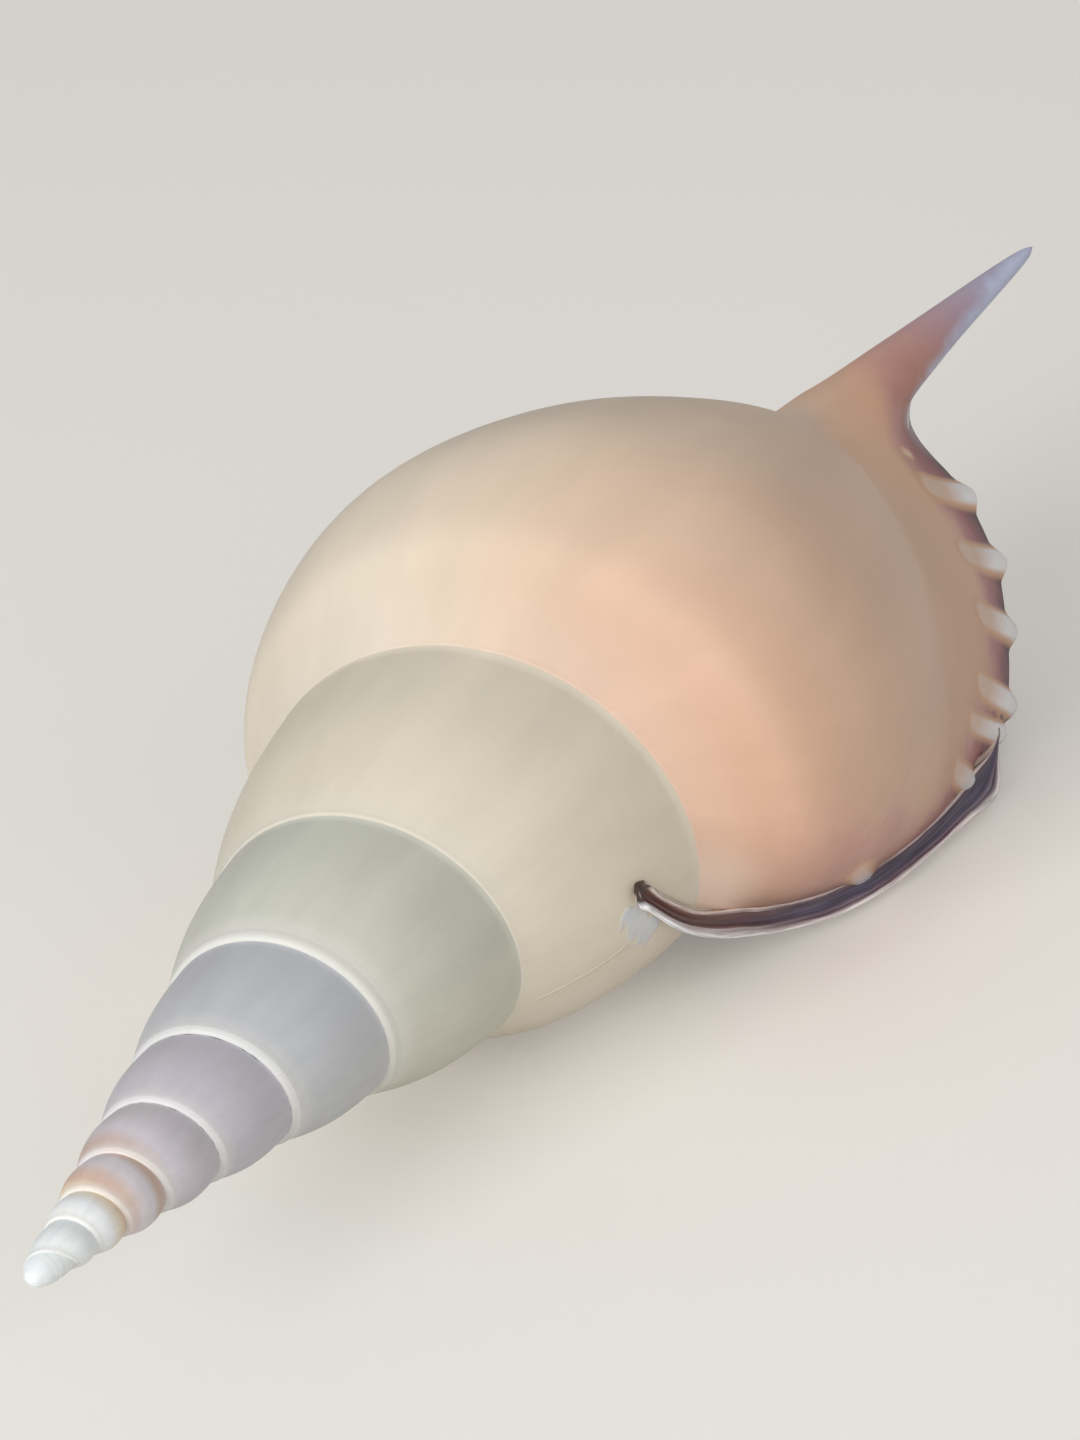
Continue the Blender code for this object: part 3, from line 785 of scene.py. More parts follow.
    # Places round the axis, and the marks that the colours read
    angle = add(tree, "ShaderNodeMath", turn, 2 * math.pi, given["Lip Angle"], operation="MULTIPLY_ADD")
    sine = add(tree, "ShaderNodeMath", angle, operation="SINE")
    cosine = add(tree, "ShaderNodeMath", angle, operation="COSINE")
    x = add(tree, "ShaderNodeMath", radius, sine, operation="MULTIPLY")
    z = add(tree, "ShaderNodeMath", radius, cosine, operation="MULTIPLY")
    spot = add(tree, "ShaderNodeCombineXYZ", x, height, z)
    mesh = grid
    for mark, value in (("turn", turn), ("down", across), ("edge", -DEEP), ("seam", shape)):
        at_point = add(tree, "GeometryNodeFieldOnDomain", value, data_type="FLOAT", domain="POINT")
        mesh = add(
            tree, "GeometryNodeStoreNamedAttribute", data_type="FLOAT", domain="CORNER",
            inputs={"Geometry": mesh, "Name": mark, "Value": at_point})
    return add(tree, "GeometryNodeSetPosition", mesh, inputs={"Position": spot})


def grown_tree(coil, lip):
    """The whole shell: the coil by its rule, welded to the last whorl, with teeth raised on the lip."""
    number = "NodeSocketFloat"
    tree, given, out = new_tree(
        "Grown Shell",
        (("Geometry", "NodeSocketGeometry", None),
         *((name, number, size) for name, size in seam_sizes(coil).items()),
         ("Whorl Bulge", number, coil.bulge), ("Young Swelling", number, coil.plumpness),
         ("Lip Angle", number, coil.lip_angle), ("Thread Height", number, coil.thread_height),
         ("Thread Width", number, coil.thread_width), ("Tooth Axes", "NodeSocketObject", None),
         ("Tooth Size", number, lip.tooth_size), ("Ridge Height", number, lip.ridge_height),
         ("Material", "NodeSocketMaterial", None)),
        (("Geometry", "NodeSocketGeometry", None),))
    spire = coil_stage(tree, given, coil)
    whole = add(tree, "GeometryNodeJoinGeometry")
    tree.links.new(spire.outputs[0], whole.inputs[0])
    tree.links.new(given["Geometry"], whole.inputs[0])
    welded = add(tree, "GeometryNodeMergeByDistance", whole, inputs={"Distance": 0.001 * MM})

    # The distance to the nearest tooth's axis, and what that axis says
    axes = add(tree, "GeometryNodeObjectInfo", given["Tooth Axes"]).outputs["Geometry"]
    position = add(tree, "GeometryNodeInputPosition")
    nearest = add(
        tree, "GeometryNodeProximity", target_element="EDGES",
        inputs={"Geometry": axes, "Sample Position": position})
    closest = add(tree, "GeometryNodeSampleNearest", axes, inputs={"Sample Position": position})
    read_at = {}
    for mark, kind in (("outward", "FLOAT_VECTOR"), ("girth", "FLOAT"), ("reach", "FLOAT")):
        value = add(tree, "GeometryNodeInputNamedAttribute", data_type=kind, inputs={"Name": mark})
        read_at[mark] = add(
            tree, "GeometryNodeSampleIndex", data_type=kind,
            inputs={"Geometry": axes, "Value": value, "Index": closest})

    # How much each point belongs to a tooth, only outside the hollow
    girth = add(tree, "ShaderNodeMath", read_at["girth"], given["Tooth Size"], operation="MULTIPLY")
    far = add(tree, "ShaderNodeMath", nearest.outputs["Distance"], girth, operation="DIVIDE")
    tooth = add(tree, "ShaderNodeMapRange", far, 1.35, 0.10, 0.0, 1.0, interpolation_type=SOFT, name="Tooth")
    edge = add(tree, "GeometryNodeInputNamedAttribute", data_type="FLOAT", inputs={"Name": "edge"})
    outside = add(tree, "ShaderNodeMapRange", edge, 1.6, 0.9, 0.0, 1.0)
    tooth = add(tree, "ShaderNodeMath", tooth, outside, operation="MULTIPLY")

    # A tooth stands out past the rim, and its ridge rises from the lip's back and tapers off there
    reach = add(tree, "ShaderNodeMapRange", edge, -3.0, -0.1, 0.0, 1.0, interpolation_type=SOFT)
    for other in (given["Tooth Size"], read_at["reach"], tooth):
        reach = add(tree, "ShaderNodeMath", reach, other, operation="MULTIPLY")
    pushed = add(tree, "ShaderNodeVectorMath", read_at["outward"], operation="SCALE", inputs={"Scale": reach})
    normal = add(tree, "GeometryNodeInputNormal")
    ridge = add(tree, "ShaderNodeMath", girth, FULL_GIRTH, operation="DIVIDE")
    tapered = add(tree, "ShaderNodeMapRange", edge, -5.5, -1.5, 0.18, 1.0)
    for other in (given["Ridge Height"], tooth, tapered):
        ridge = add(tree, "ShaderNodeMath", ridge, other, operation="MULTIPLY")
    raised = add(tree, "ShaderNodeVectorMath", normal, operation="SCALE", inputs={"Scale": ridge})
    moved = add(tree, "ShaderNodeVectorMath", pushed, raised, operation="ADD")
    marked = add(
        tree, "GeometryNodeStoreNamedAttribute", data_type="FLOAT", domain="POINT",
        inputs={"Geometry": welded, "Name": "tooth", "Value": tooth})
    grown = add(tree, "GeometryNodeSetPosition", marked, inputs={"Offset": moved})
    return finished_tree(tree, given, out, grown)


def marked_line(name, points, edges, **marks_by_name):
    """A line as an object, whose points carry marks that are numbers or directions."""
    mesh = bpy.data.meshes.new(name)
    mesh.from_pydata([tuple(p) for p in points], edges, [])
    for mark, values in marks_by_name.items():
        values = np.array(values)
        kind, key = ("FLOAT", "value") if values.ndim == 1 else ("FLOAT_VECTOR", "vector")
        mesh.attributes.new(mark, kind, "POINT").data.foreach_set(key, values.ravel())
    return bpy.data.objects.new(name, mesh)


def tooth_axes(columns, inside):
    """A line over the lip's back for each tooth, from its ridge's start to its tip, with what shapes it."""
    tracks = columns[::-1]
    steps = np.linalg.norm(np.diff(tracks, axis=0), axis=2)
    back = np.concatenate((0 * steps[:1], steps.cumsum(axis=0))) / MM
    length = lengths(tracks[0])
    length /= length[-1]
    points, ways, girths, reaches, edges = [], [], [], [], []
    for share, girth, reach, ridge, begun in TEETH:
        spots = []
        for gone in np.linspace(ridge, max(0.0, -reach), RIDGE_SPOTS):
            row = np.interp(share + (begun - share) * gone / ridge, length, np.arange(len(length)))
            low, part = int(row), row % 1
            track = tracks[:, low] * (1 - part) + tracks[:, low + 1] * part
            far = back[:, low] * (1 - part) + back[:, low + 1] * part
            spots.append(np.array([np.interp(gone, far, track[:, i]) for i in range(3)]))
        out = spots[-1] - spots[-2]
        out /= np.linalg.norm(out)
        if reach >= 0:
            spots.append(spots[-1] + (inside[low] - tracks[0, low]) * TOOTH_DEPTH)
        edges += [(len(points) + i, len(points) + i + 1) for i in range(len(spots) - 1)]
        points += spots
        ways += [out] * len(spots)
        girths += [girth * MM] * len(spots)
        reaches += [max(0.0, reach) * MM] * len(spots)
    return marked_line("tooth_axes", points, edges, outward=ways, girth=girths, reach=reaches)


def cut_evenly(edge, count):
    """Points in space along one edge of the band, evenly spread along a smooth curve."""
    edge = np.asarray(edge, float)
    slopes = np.gradient(edge, axis=0)
    at = np.linspace(0, len(edge) - 1, count)
    i = np.minimum(at.astype(int), len(edge) - 2)
    fine = cubic((at - i)[:, None], edge[i], slopes[i], edge[i + 1], slopes[i + 1])
    angle = np.radians(fine[:, 0])
    return np.stack((fine[:, 1] * np.sin(angle), fine[:, 2], fine[:, 1] * np.cos(angle)), axis=1) * MM


def band_path():
    """The middle of the band as a line, with the way its face looks and half its width at each point."""
    back, belly = cut_evenly(BACK_EDGE, BAND_POINTS), cut_evenly(BELLY_EDGE, BAND_POINTS)
    middle, half = (back + belly) / 2, np.linalg.norm(belly - back, axis=1) / 2
    along = np.gradient(middle, axis=0)
    facing = np.cross(belly - back, along)
    facing /= np.linalg.norm(facing, axis=1)[:, None]
    length = lengths(middle)
    from_tip = np.clip(length / BAND_TIP, 0, 1)
    half *= np.sqrt(1 - (1 - from_tip) ** 2 * BAND_TIP_ROUNDING)
    half *= BAND_END_WIDTH + (1 - BAND_END_WIDTH) * ramp(length[-1] - length, 0, BAND_TAPER)
    edges = [(i, i + 1) for i in range(len(middle) - 1)]
    return marked_line("lip_band", middle, edges, facing=facing, half_width=half, along=length / MM)


def band_section():
    """The band's cross-section as a closed line, rounded between its given points."""
    given = np.array(BAND_SECTION)
    count = len(given)
    points, face = [], []
    for i in range(count):
        before, start, end, after = (given[(i + step) % count] for step in (-1, 0, 1, 2))
        for u in (0.0, 0.25, 0.5, 0.75):
            over, up, _ = cubic(u, start, (end - before) / 2, end, (after - start) / 2)
            points.append((up, over, 0.0))
            face.append(start[2] + max(0.0, end[2] - start[2]) * u)
    edges = [(i, (i + 1) % len(points)) for i in range(len(points))]
    return marked_line("band_section", points, edges, face=face)


def band_tree():
    """Sweeps the section along the path, turned to face outward and scaled by the path's half width."""
    tree, given, out = new_tree(
        "Lip Band",
        (("Geometry", "NodeSocketGeometry", None), ("Section", "NodeSocketObject", None),
         ("Band Relief", "NodeSocketFloat", 0.5), ("Material", "NodeSocketMaterial", None)),
        (("Geometry", "NodeSocketGeometry", None),))
    facing, half, along, face = (
        add(tree, "GeometryNodeInputNamedAttribute", data_type=kind, inputs={"Name": mark})
        for mark, kind in (
            ("facing", "FLOAT_VECTOR"), ("half_width", "FLOAT"), ("along", "FLOAT"), ("face", "FLOAT")))
    path = add(tree, "GeometryNodeMeshToCurve", given["Geometry"])
    path = add(tree, "GeometryNodeSetCurveNormal", path, mode="FREE", inputs={"Normal": facing})
    section = add(tree, "GeometryNodeObjectInfo", given["Section"]).outputs["Geometry"]
    section = add(tree, "GeometryNodeMeshToCurve", section)
    swept = add(tree, "GeometryNodeCurveToMesh", path, section, inputs={"Scale": half, "Fill Caps": True})

    # Toward the hook the belly's edge rises to a ridge, and the face beside it sinks
    ridges = []
    for middle, height in ((0.86, 1.0), (0.45, 0.6)):
        off = add(tree, "ShaderNodeMath", face, middle, operation="SUBTRACT")
        off = add(tree, "ShaderNodeMath", off, operation="ABSOLUTE")
        ridges.append(add(tree, "ShaderNodeMapRange", off, 0.30, 0.0, 0.0, height, interpolation_type=SOFT))
    swell = add(tree, "ShaderNodeMath", *ridges, operation="SUBTRACT")
    near_tip = add(tree, "ShaderNodeMapRange", along, 26.0, 7.0, 0.0, 1.0, interpolation_type=SOFT)
    for other in (near_tip, given["Band Relief"]):
        swell = add(tree, "ShaderNodeMath", swell, other, operation="MULTIPLY")

    # The band's underside thins toward the tip, so that the hook ends in a low point
    at_end = add(tree, "ShaderNodeMapRange", along, 4.5, 0.5, 0.0, 1.0, interpolation_type=SOFT)
    under = add(tree, "ShaderNodeMapRange", face, 1.12, 1.55, 0.0, 1.7)
    last_side = add(tree, "ShaderNodeMapRange", face, 1.45, 1.75, 1.0, 0.0)
    for other in (last_side, at_end):
        under = add(tree, "ShaderNodeMath", under, other, operation="MULTIPLY")
    swell = add(tree, "ShaderNodeMath", swell, under, operation="ADD")
    swell = add(tree, "ShaderNodeMath", swell, half, operation="MULTIPLY")
    raised = add(tree, "ShaderNodeVectorMath", facing, operation="SCALE", inputs={"Scale": swell})
    grown = add(tree, "GeometryNodeSetPosition", swept, inputs={"Offset": raised})
    return finished_tree(tree, given, out, grown)


def signed_distance(spots, line, radius):
    """Distance in mm from spots to a line of (angle, height), to the right of it positive, in the flat
    sheet that the surface at this radius unrolls to."""
    scale = np.stack((np.radians(1.0) * radius, np.ones(len(radius))), axis=1)
    best, side = np.full(len(spots), 1e9), np.zeros(len(spots))
    for start, end in zip(line, line[1:]):
        way, gone = (np.array(end) - start) * scale, (spots - start) * scale
        share = np.clip((way * gone).sum(axis=1) / (way * way).sum(axis=1), 0, 1)
        far = np.linalg.norm(gone - way * share[:, None], axis=1)
        closer = far < best
        turned = way[:, 0] * gone[:, 1] - way[:, 1] * gone[:, 0]
        best, side = np.where(closer, far, best), np.where(closer, turned, side)
    return best * np.sign(side)


def glaze(mesh):
    """Marks the belly's glaze and its chalky end on a shell that still stands in its own frame."""
    points = np.zeros(len(mesh.vertices) * 3)
    mesh.vertices.foreach_get("co", points)
    corners = np.zeros(len(mesh.loops), int)
    mesh.loops.foreach_get("vertex_index", corners)
    points = points.reshape(-1, 3)[corners] / MM
    values = {}
    for name in ("turn", "edge"):
        values[name] = np.zeros(len(corners))
        mesh.attributes[name].data.foreach_get("value", values[name])
    angle = np.degrees(np.arctan2(points[:, 0], points[:, 2])) % 360
    radius = np.hypot(points[:, 0], points[:, 2])
    spots = np.stack((angle, points[:, 1]), axis=1)
    there = (values["turn"] > GLAZE_TURNS[0]) & (values["turn"] < GLAZE_TURNS[1]) & (values["edge"] < -1)
    depth = signed_distance(spots, GLAZE_EDGE, radius)
    chalk = CHALK_WIDTH - np.abs(signed_distance(spots, CHALK, radius))
    for name, value in (("glaze", depth), ("chalk", chalk)):
        value = np.clip(np.where(there, value, -GLAZE_MOST), -GLAZE_MOST, GLAZE_MOST)
        mesh.attributes.new(name, "FLOAT", "CORNER").data.foreach_set("value", value)


def made_plain(obj, name):
    """The object's evaluated mesh as a new plain object, with the modifiers gone."""
    graph = bpy.context.evaluated_depsgraph_get()
    mesh = bpy.data.meshes.new_from_object(obj.evaluated_get(graph))
    mesh.name = name
    plain = bpy.data.objects.new(name, mesh)
    bpy.context.scene.collection.objects.link(plain)
    bpy.data.objects.remove(obj)
    return plain


def grow(obj, tree, **values):
    """Puts a node tree on the object and fills the tree's named inputs."""
    modifier = obj.modifiers.new(tree.name, "NODES")
    modifier.node_group = tree
    for item in tree.interface.items_tree:
        key = item.name.replace(" ", "_").lower()
        if item.item_type == "SOCKET" and item.in_out == "INPUT" and key in values:
            modifier[item.identifier] = values[key]


def rest_matrix():
    """Lays the shell on belly and lip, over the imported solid: its turns, then its place over that box."""
    turned = Matrix.Rotation(REST_TILT, 4, "X") @ Matrix.Rotation(REST_ROLL, 4, "Y")
    return Matrix.Translation(Vector(SHELL_LOW) + Vector(REST_PLACE) * MM) @ turned


def laid_over(tree, colour, layers):
    """Lays colours over a ground, from below up, each as (name, colour, parts). A layer shows by the
    product of its parts, which are nodes or (source, from, to, least, most), with an interpolation where it
    isn't even. Returns the top colour, and how much each layer shows by its name."""
    shares = {}
    for name, over, parts in layers:
        share = None
        for part, *limits in parts:
            if limits:
                settings = {"interpolation_type": limits.pop()} if len(limits) > 4 else {}
                part = add(tree, "ShaderNodeMapRange", part, *limits, **settings)
            if share is not None:
                part = add(tree, "ShaderNodeMath", share, part, operation="MULTIPLY")
            share = part
        over = linear(over) if isinstance(over, str) else over
        mixed = add(
            tree, "ShaderNodeMix", name=name, data_type="RGBA",
            inputs={"Factor": share, "A": colour, "B": over})
        colour, shares[name] = mixed.outputs["Result"], share
    return colour, shares


def shell_material():
    """Aragonite shell, grown and polished by the animal: smooth as glazed porcelain, with a satin sheen."""
    made = bpy.data.materials.new("aragonite_shell")
    made.use_nodes = True
    tree = made.node_tree
    surface = tree.nodes["Principled BSDF"]
    turn, down, edge, seam, tooth, glazed, chalky = (
        add(tree, "ShaderNodeAttribute", attribute_name=name).outputs["Fac"]
        for name in ("turn", "down", "edge", "seam", "tooth", "glaze", "chalk"))
    place_at = add(tree, "ShaderNodeTexCoord").outputs["Object"]
    along = add(tree, "ShaderNodeMath", turn, down, operation="ADD", name="Along The Coil")

    # The stain frays, and it reaches farther back by the suture and past the notch
    wander = add(tree, "ShaderNodeTexNoise", inputs={"Vector": place_at, "Scale": 420.0, "Detail": 2.0})
    wander = add(tree, "ShaderNodeMapRange", wander.outputs["Fac"], 0.3, 0.7, -0.6, 0.6)
    oblique = add(tree, "ShaderNodeMapRange", down, 0.80, 1.12, 0.42, 1.0)
    frayed = add(tree, "ShaderNodeMath", edge, oblique, wander, operation="MULTIPLY_ADD")
    at_notch = add(tree, "ShaderNodeMapRange", down, 1.46, 1.58, 1.0, 0.6)
    frayed = add(tree, "ShaderNodeMath", frayed, at_notch, operation="MULTIPLY")

    # Older whorls by turn, the last one by its own turn, the first ones by their bands, the canal from tan
    # through pink to lilac, the stain from its edge to the rim, and the rim's face from outside in
    ramps = {}
    for name, source, start, end, stops in (
        ("Whorls", turn, -9.0, 0.0, (
            (0.000, "#F6FCFF"), (0.111, "#F3F8F8"), (0.200, "#F2F0EA"), (0.311, "#DDD3CE"),
            (0.422, "#C9C3C9"), (0.533, "#C2C0C8"), (0.644, "#C3C5CA"), (0.700, "#C6C8C6"),
            (0.740, "#CDCEC2"), (0.800, "#D0CDBC"), (0.845, "#DFD6C3"), (0.889, "#E3D9C5"))),
        ("Last Whorl", turn, -1.0, 0.0, (
            (0.00, "#E3D9C5"), (0.10, "#DED4C0"), (0.50, "#E6DBC8"), (0.62, "#EBDDC9"), (0.72, "#EFD5BC"),
            (0.80, "#EBC9B0"), (0.90, "#E3BEA4"), (0.96, "#DFB79D"), (1.00, "#D8B099"))),
        ("Young Bands", along, -7.5, -4.5, (
            (0.00, "#EEF4F8"), (0.27, "#F0F3F8"), (0.345, "#F0E7D4"), (0.405, "#ECD3AE"),
            (0.465, "#CCA78F"), (0.520, "#CDB0A2"), (0.585, "#DAD1D8"), (0.670, "#DBD7E0"),
            (0.735, "#C7A692"), (0.790, "#C4A89C"), (0.860, "#D2CCD6"), (1.000, "#C6C3CB"))),
        ("Canal", down, 1.40, 2.0, (
            (0.00, "#EDCBB4"), (0.22, "#F0C4A6"), (0.45, "#E6B093"), (0.58, "#CFA39E"), (0.70, "#C2AEC0"),
            (0.84, "#C2CBE8"), (1.00, "#BAC0DA"))),
        ("Lip Stain", frayed, -7.0, 0.0, (
            (0.00, "#D2A890"), (0.25, "#D09B95"), (0.48, "#BE8584"), (0.70, "#A26A6D"), (0.88, "#7C5059"),
            (1.00, "#56404A"))),
        ("Rim Face", edge, 0.0, 1.0, (
            (0.00, "#6A5058"), (0.12, "#4F3E46"), (0.45, "#43383F"), (0.75, "#6A5458"), (0.86, "#C9B4B2"),
            (1.00, "#E9DED8"))),
    ):
        at = add(tree, "ShaderNodeMapRange", source, start, end, 0.0, 1.0)
        ramps[name] = add(tree, "ShaderNodeValToRGB", at, name=name, stops=stops).outputs["Color"]

    # Soft clouds, a few millimetres to two centimetres across, and faint streaks of growth
    clouds = add(tree, "ShaderNodeTexNoise", inputs={"Vector": place_at, "Scale": 55.0, "Detail": 3.0})
    cloudy = add(tree, "ShaderNodeMapRange", clouds.outputs["Fac"], 0.35, 0.65, 0.965, 1.03)
    round_coil = add(tree, "ShaderNodeMath", turn, 26.0, operation="MULTIPLY")
    down_whorl = add(tree, "ShaderNodeMath", down, 1.3, operation="MULTIPLY")
    growth = add(tree, "ShaderNodeCombineXYZ", round_coil, down_whorl, 0.0)
    growth = add(tree, "ShaderNodeTexNoise", inputs={"Vector": growth, "Scale": 1.0, "Detail": 4.0})
    growth = add(tree, "ShaderNodeMapRange", growth.outputs["Fac"], 0.3, 0.7, 0.95, 1.04)
    cloudy = add(tree, "ShaderNodeMath", cloudy, growth, operation="MULTIPLY")

    # Seams: a pale fall with fine threads on the older whorls, and the thread itself everywhere
    fall = add(tree, "ShaderNodeMapRange", down, 0.0, 0.24, 1.0, 0.0, interpolation_type=SOFTER)
    older = add(tree, "ShaderNodeMapRange", turn, -1.3, -2.4, 0.12, 0.62)
    fine = add(tree, "ShaderNodeMath", down, 170.0, operation="MULTIPLY")
    fine = add(tree, "ShaderNodeMath", fine, operation="SINE")
    fine = add(tree, "ShaderNodeMath", fine, fall, operation="MULTIPLY", name="Fine Spiral Threads")
    spun = add(tree, "ShaderNodeMapRange", turn, -1.2, -1.9, 0.0, 0.10)
    older = add(tree, "ShaderNodeMath", fine, spun, older, operation="MULTIPLY_ADD")
    pale = add(tree, "ShaderNodeMath", fall, older, operation="MULTIPLY")
    thread_top = add(tree, "ShaderNodeMapRange", seam, 0.30, 1.0, 0.0, 0.62)
    pale = add(tree, "ShaderNodeMath", pale, thread_top, operation="MAXIMUM")
    pits = add(
        tree, "ShaderNodeTexNoise", noise_dimensions="1D", inputs={"W": along, "Scale": 34.0, "Detail": 1.0})

    # The glaze over the belly side ends in a fine edge, and by the hook in a ragged patch
    from_edge = add(tree, "ShaderNodeMath", glazed, operation="ABSOLUTE")
    jagged = add(tree, "ShaderNodeTexNoise", inputs={"Vector": place_at, "Scale": 900.0, "Detail": 4.0})
    ragged = add(tree, "ShaderNodeMapRange", jagged.outputs["Fac"], 0.3, 0.7, -0.4, 0.4)
    ragged = add(tree, "ShaderNodeMath", chalky, ragged, operation="ADD")

    colour, _ = laid_over(tree, ramps["Whorls"], (
        ("Last Whorl", ramps["Last Whorl"], ((turn, -1.0, -0.999, 0.0, 1.0),)),
        ("Warm By The Suture", "#EBBD9F", (
            (down, 1.05, 0.1, 0.0, 0.75, SOFT), (turn, -0.36, -0.10, 0.0, 1.0, SOFT))),
        ("Young Bands", ramps["Young Bands"], (
            (along, -4.6, -5.2, 0.0, 0.75), (along, -7.6, -6.9, 0.0, 1.0))),
    ))
    colour = add(tree, "ShaderNodeVectorMath", colour, operation="SCALE", inputs={"Scale": cloudy})
    colour, shares = laid_over(tree, colour, (
        ("Canal", ramps["Canal"], ((down, 1.34, 1.60, 0.0, 1.0, SOFT), (turn, -0.75, -0.45, 0.35, 1.0))),
        ("Pale Seams", "#EDECE8", ((pale,),)),
        ("Pits", "#3C3A40", (
            (pits.outputs["Fac"], 0.55, 0.58, 0.0, 1.0), (down, 0.982, 0.992, 0.0, 1.0),
            (turn, -3.7, -3.8, 0.0, 0.9), (turn, -5.6, -5.5, 0.0, 1.0))),
        ("Lip Stain", ramps["Lip Stain"], (
            (frayed, -7.6, -3.6, 0.0, 1.0, SOFT), (down, 0.98, 1.24, 0.55, 1.0), (down, 0.12, 0.52, 0.0, 1.0),
            (tooth, 0.05, 0.45, 1.0, 0.0), (down, 1.60, 1.74, 1.0, 0.35))),
        # Painted light: a pale patch by the suture's end near the hook, lifting the shade that the band
        # leaves on the body there
        ("Painted Light By The Suture's End", "#FBE3D3", (
            (turn, -0.075, -0.03, 0.0, 0.62, SOFT), (down, 0.34, 0.10, 0.0, 1.0, SOFT))),
        ("Canal's Pale Blade", "#CCD3EE", ((frayed, -1.9, -1.0, 0.0, 0.85), (down, 1.62, 1.74, 0.0, 1.0))),
        ("Tan Round The Teeth", "#DDB08C", ((tooth, 0.02, 0.40, 0.0, 0.75, SOFT),)),
        ("Teeth", "#FDFCFF", ((tooth, 0.34, 0.80, 0.0, 1.0, SOFT), (edge, -4.8, -1.8, 0.25, 1.0))),
        ("Rim Face", ramps["Rim Face"], ((edge, -0.05, 0.02, 0.0, 1.0), (tooth, 0.2, 0.5, 1.0, 0.1))),
        ("Hollow", "#EFE6DE", ((edge, 1.0, 3.0, 0.0, 1.0),)),
        ("Glaze", "#E4DBCB", ((glazed, 0.0, 3.0, 0.0, 0.8, SOFT),)),
        ("Glaze's Edge", "#F0E5CE", (
            (from_edge, 0.22, 0.08, 0.0, 1.0), (down, 0.58, 0.48, 0.0, 1.0), (down, 0.06, 0.12, 0.0, 1.0))),
        ("Chalk", "#D6D9DE", ((ragged, 0.0, 0.5, 0.0, 1.0), (jagged.outputs["Fac"], 0.38, 0.62, 0.72, 1.0))),
    ))
    tree.links.new(colour, surface.inputs["Base Color"])

    # Growth lines run along the lip, about 0.4 mm apart on the last whorl and finer on the young ones
    across = add(tree, "ShaderNodeMath", turn, 300.0, operation="MULTIPLY")
    length = add(tree, "ShaderNodeMath", down, 4.0, operation="MULTIPLY")
    lines = add(tree, "ShaderNodeCombineXYZ", across, length, 0.0)
    lines = add(tree, "ShaderNodeTexNoise", inputs={"Vector": lines, "Scale": 1.0, "Detail": 2.0})
    grain = add(tree, "ShaderNodeMath", shares["Chalk"], shares["Glaze's Edge"], operation="MAXIMUM")
    grain = add(tree, "ShaderNodeMath", grain, 3.0, lines.outputs["Fac"], operation="MULTIPLY_ADD")
    bump = add(tree, "ShaderNodeBump", inputs={"Strength": 0.6, "Distance": 0.05 * MM, "Height": grain})
    tree.links.new(bump.outputs["Normal"], surface.inputs["Normal"])

    # A satin sheen, dull on the chalk and polished on the teeth
    sheen = add(tree, "ShaderNodeMapRange", clouds.outputs["Fac"], 0.3, 0.7, 0.34, 0.44)
    for name, change in (("Chalk", 0.4), ("Teeth", -0.16)):
        sheen = add(tree, "ShaderNodeMath", shares[name], change, sheen, operation="MULTIPLY_ADD")
    tree.links.new(sheen.outputs[0], surface.inputs["Roughness"])
    return made


